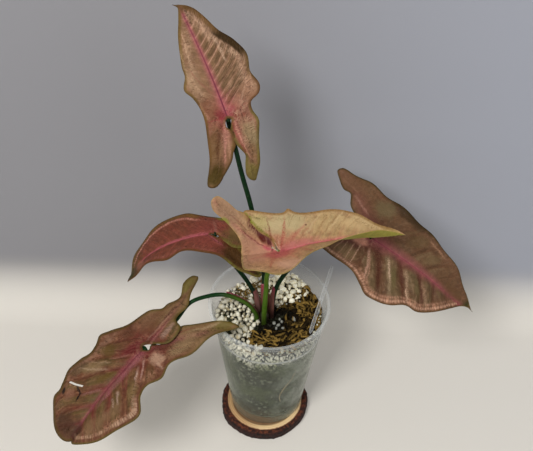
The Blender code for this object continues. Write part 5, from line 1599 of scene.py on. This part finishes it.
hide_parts("crown")

# Petioles. Long smooth leaf stalks, round above and flattened at the foot, where all but one are
# wrapped in a thin dark-red sheath. They grow from the crown and end under the blades.

BASE_RING = 6.4
STALK_SIDES = 16
SHEATH_STEPS = 14
CAD_BLADE = 0.7
STALKS = {
    "petiole_top": dict(leaf="leaf_top", azimuth=85, tall=12, reach=6, sheath=34, back=2.0,
                        through=[(-6, 10, 168), (-16, 17, 222), (-23, 21, 250), (-29, 25, 277)]),
    "petiole_right": dict(leaf="leaf_right", azimuth=25, tall=10, reach=8, sheath=32,
                          through=[(5, 4, 148), (14, 7, 166), (27, 18, 172), (41, 28, 172),
                                   (58, 32, 171), (69, 34, 171)]),
    "petiole_centre": dict(leaf="leaf_centre", azimuth=270, tall=16, reach=7, sheath=0, foot=2.0,
                           through=[(-3, -8, 158), (-2, -10, 180)]),
    "petiole_left": dict(leaf="leaf_left", azimuth=140, tall=8, reach=7, sheath=24, back=4.5,
                         through=[(-12, 7, 136), (-19, 13, 146), (-28, 15, 160), (-38, 21, 170)]),
    "petiole_low": dict(leaf="leaf_low", azimuth=195, tall=6, reach=7, sheath=42, back=1.6, end=2.7,
                        wrap=62, open=112,
                        through=[(-16, -5, 136), (-24, -5, 143), (-36, -5, 148), (-50, -3, 143),
                                 (-63, -4, 136), (-73, -19, 132), (-86, -35, 128)]),
}


def frames(path, radii, widths, reference, step):
    """Points along a smooth path with their side and front directions, radius and width."""
    path = np.asarray(path, float)
    knots = np.concatenate([[0.0], np.cumsum(np.linalg.norm(np.diff(path, axis=0), axis=1))])
    curve = spline(path, step)
    run = np.concatenate([[0.0], np.cumsum(np.linalg.norm(np.diff(curve, axis=0), axis=1))])
    share = run / run[-1] * knots[-1]
    tangent = np.gradient(curve, axis=0)
    tangent /= np.linalg.norm(tangent, axis=1)[:, None]
    side = unit(np.cross(tangent[0], np.asarray(reference, float)))
    out = []
    for k in range(len(curve)):
        side = unit(side - side.dot(tangent[k]) * tangent[k])
        out.append((curve[k], side, np.cross(tangent[k], side), np.interp(share[k], knots, radii),
                    np.interp(share[k], knots, widths), run[k]))
    return out


def ringed(rows, sides):
    """Quads joining rows of points round a tube, with both ends closed."""
    faces = []
    for k in range(rows - 1):
        for j in range(sides):
            a, b = k * sides + j, k * sides + (j + 1) % sides
            faces.append((a, b, b + sides, a + sides))
    return faces + [tuple(reversed(range(sides))), tuple((rows - 1) * sides + j for j in range(sides))]


def stalk_tube(line, sides):
    points = []
    for spot, side, front, r, w, run in line:
        for j in range(sides):
            a = math.tau * j / sides
            points.append(spot + side * w * math.cos(a) + front * r * math.sin(a))
    return points, ringed(len(line), sides)


def sheath_shell(line, length, open_way, wrap):
    """A thin wrap round the foot of a stalk, open along one side and drawn out to a point."""
    rows = [f for f in line if f[5] <= length]
    points = []
    for spot, side, front, r, w, run in rows:
        t = run / length
        half = math.radians(wrap * (1 - 0.65 * t ** 1.5))
        lift = 0.3 + 0.4 * t
        shell = []
        for layer in (0.15, 0.5):
            sweep = range(SHEATH_STEPS + 1) if layer < 0.5 else range(SHEATH_STEPS, -1, -1)
            for j in sweep:
                a = math.radians(open_way) + half * (2 * j / SHEATH_STEPS - 1)
                flare = lift * abs(2 * j / SHEATH_STEPS - 1) ** 3
                thick = layer + flare
                shell.append(spot + side * (w + thick) * math.cos(a) + front * (r + thick) * math.sin(a))
        points += shell
    return points, ringed(len(rows), 2 * (SHEATH_STEPS + 1))


def stalk_material(name, low, high, foot, reach=28.0):
    """Green skin, with the foot's own colour fading out along the stalk, and fine long streaks."""
    made, tree, shader, place = new_material(name)
    run = stored(tree, "run")
    streak = noise(tree, place, 700.0, 3.0)
    broad = noise(tree, place, 60.0, 3.0)
    colour = mixed(tree, fade(tree, broad, 0.3, 0.7), srgb(*low), srgb(*high))
    wander = calc(tree, "ADD", run, times(tree, broad, 12.0))
    colour = mixed(tree, fade(tree, wander, reach, reach - 20.0, 0.0, 0.85), colour, srgb(*foot))
    colour = mixed(tree, fade(tree, streak, 0.5, 0.8, 0.0, 0.12), colour, srgb(110, 130, 70))
    plug(tree, shader, Base_Color=colour, Roughness=fade(tree, streak, 0.2, 0.8, 0.4, 0.55),
         Specular_IOR_Level=0.15, Normal=bump(tree, streak, 0.0002, 0.4))
    return made


dark_stalk = stalk_material("dark_green_stalk", (0, 24, 6), (2, 40, 14), (22, 14, 8))
pale_stalk = stalk_material("pale_green_stalk", (62, 92, 18), (82, 110, 28), (44, 56, 14))
low_stalk = stalk_material("two_green_stalk", (0, 32, 8), (4, 52, 14), (64, 90, 22), 56.0)
sheath_look, tree, shader, place = new_material("red_sheath")
run = stored(tree, "run")
vein = noise(tree, node(tree, "Mapping", {"Vector": place, "Scale": (1, 1, 0.25)}).outputs[0], 900.0, 3.0)
colour = mixed(tree, fade(tree, run, 4.0, 20.0), srgb(40, 20, 16), srgb(112, 64, 56))
colour = mixed(tree, fade(tree, run, 20.0, 32.0), colour, srgb(140, 44, 62))
colour = mixed(tree, fade(tree, vein, 0.45, 0.75, 0.0, 0.5), colour, srgb(104, 74, 50))
plug(tree, shader, Base_Color=colour, Roughness=fade(tree, vein, 0.2, 0.8, 0.35, 0.55),
     Normal=bump(tree, vein, 0.0004, 0.6))


def lengthwise(piece, line, per_row):
    """Stores how far along the stalk each point is."""
    store(piece, "run", np.repeat([f[5] for f in line], per_row))


for name, stalk in STALKS.items():
    leaf = LEAVES[stalk["leaf"]]
    along = unit(leaf["toward"])
    face = np.asarray(leaf["face"], float)
    normal = unit(face - face.dot(along) * along)
    meet = np.asarray(leaf["at"], float) - normal * (CAD_BLADE / 2 + 0.9)
    a = math.radians(stalk["azimuth"])
    base = np.array((CROWN_X + BASE_RING * math.cos(a), CROWN_Y + BASE_RING * math.sin(a), BED_Z))
    back, end = stalk.get("back", 0.0), stalk.get("end", 1.8)
    path = [base, base + (0, 0, stalk["tall"]), *stalk["through"],
            meet - normal * stalk["reach"] - along * 2.0, meet - along * back,
            meet + normal * 1.25 + along * (0.8 - back)]
    count = len(path) - 1
    radii = [1.9, 1.9] + [1.7 - 0.3 * k / count for k in range(count - 3)] + [1.7, end]
    widths = [stalk.get("foot", 2.6)] * 2 + [1.9 - 0.5 * k / count for k in range(count - 3)] + [1.9, end]
    line = frames(path, radii, widths, (base[0] - CROWN_X, base[1] - CROWN_Y, 0), 1.6)
    points, faces = stalk_tube(line, STALK_SIDES)
    pale = name == "petiole_centre"
    look = pale_stalk if pale else low_stalk if name == "petiole_low" else dark_stalk
    piece = add_piece(name + "_stalk", points, faces, look)
    lengthwise(piece, line, STALK_SIDES)
    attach(piece, "root")
    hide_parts(name)
    if stalk["sheath"]:
        points, faces = sheath_shell(line, stalk["sheath"], stalk.get("open", 90), stalk.get("wrap", 115))
        piece = add_piece(name + "_sheath", points, faces, sheath_look)
        lengthwise(piece, [f for f in line if f[5] <= stalk["sheath"]], 2 * (SHEATH_STEPS + 1))
        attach(piece, "root")

# Root. One thin tan root has grown down against the wall on the front right, where it shows
# through the plastic.

ROOT_LINE = [(-55.0, 92.0), (-57.0, 80.0), (-66.0, 68.0), (-72.0, 56.0), (-70.0, 44.0)]
path = []
for turn, z in ROOT_LINE:
    r = inner_radius(z) - 0.9
    path.append((r * math.cos(math.radians(turn)), r * math.sin(math.radians(turn)), z))
line = frames(path, [0.7, 0.8, 0.7, 0.6, 0.4], [0.7, 0.8, 0.7, 0.6, 0.4], (1, 0, 0), 1.5)
root_look, tree, shader, place = new_material("tan_root")
skin = noise(tree, place, 600.0, 4.0)
plug(tree, shader, Base_Color=mixed(tree, skin, srgb(124, 102, 70), srgb(176, 154, 116)), Roughness=0.7,
     Normal=bump(tree, skin, 0.0004, 0.7))
piece = add_piece("wall_root", *stalk_tube(line, 10), root_look)
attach(piece, "root")
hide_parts("root")

# Plant tag. A blank strip of clear plastic, with one round end, is pushed into the moss and leans
# out over the rim. The photograph shows it almost edge-on.

TAG_LOW, TAG_HIGH = np.array([32.5, -22.0, 124.6]), np.array([50.4, 29.0, 148.6])
TAG_WIDTH, TAG_THICK = 5.0, 0.6
along = unit(TAG_HIGH - TAG_LOW)
across = unit(np.cross(along, (0.75, -0.35, 0.3)))
thick = np.cross(across, along)
size = float(np.linalg.norm(TAG_HIGH - TAG_LOW))
half = TAG_WIDTH / 2
flat_edge = [(0.0, -half * 0.3), (3.0, -half), (size - half, -half)]
flat_edge += [(size - half + half * math.sin(math.radians(d)), -half * math.cos(math.radians(d)))
              for d in range(15, 180, 15)]
flat_edge += [(size - half, half), (3.0, half), (0.0, half * 0.3)]
points = []
for depth_at, inset in ((-1.0, 0.12), (-0.6, 0.0), (0.6, 0.0), (1.0, 0.12)):
    for u, v in flat_edge:
        u = min(max(u, inset), size - inset)
        points.append(TAG_LOW + along * u + across * (v * (1 - inset / half))
                      + thick * depth_at * TAG_THICK / 2)
n = len(flat_edge)
faces = [tuple(range(n)), tuple(3 * n + j for j in reversed(range(n)))]
for level in range(3):
    for j in range(n):
        a, b = level * n + j, level * n + (j + 1) % n
        faces.append((b, a, a + n, b + n))
tag_look, tree, shader, place = new_material("clear_strip")
scuff = noise(tree, place, 300.0, 3.0)
facing = node(tree, "LayerWeight", {"Blend": 0.5}).outputs["Facing"]
way_out = node(tree, "TexCoord").outputs["Normal"]
flatness = node(tree, "VectorMath", {0: way_out, 1: tuple(thick)}, operation="DOT_PRODUCT").outputs["Value"]
on_rim = fade(tree, calc(tree, "ABSOLUTE", flatness), 0.9, 0.5)
edge_on = calc(tree, "ADD", times(tree, facing, 0.12), 0.1)
plug(tree, shader, Base_Color=srgb(226, 230, 232), Roughness=fade(tree, scuff, 0.2, 0.8, 0.12, 0.3),
     Alpha=calc(tree, "ADD", times(tree, on_rim, 0.4), edge_on), IOR=1.5)
piece = add_piece("plant_tag_strip", points, faces, tag_look, smooth=False)
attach(piece, "root")
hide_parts("plant_tag")
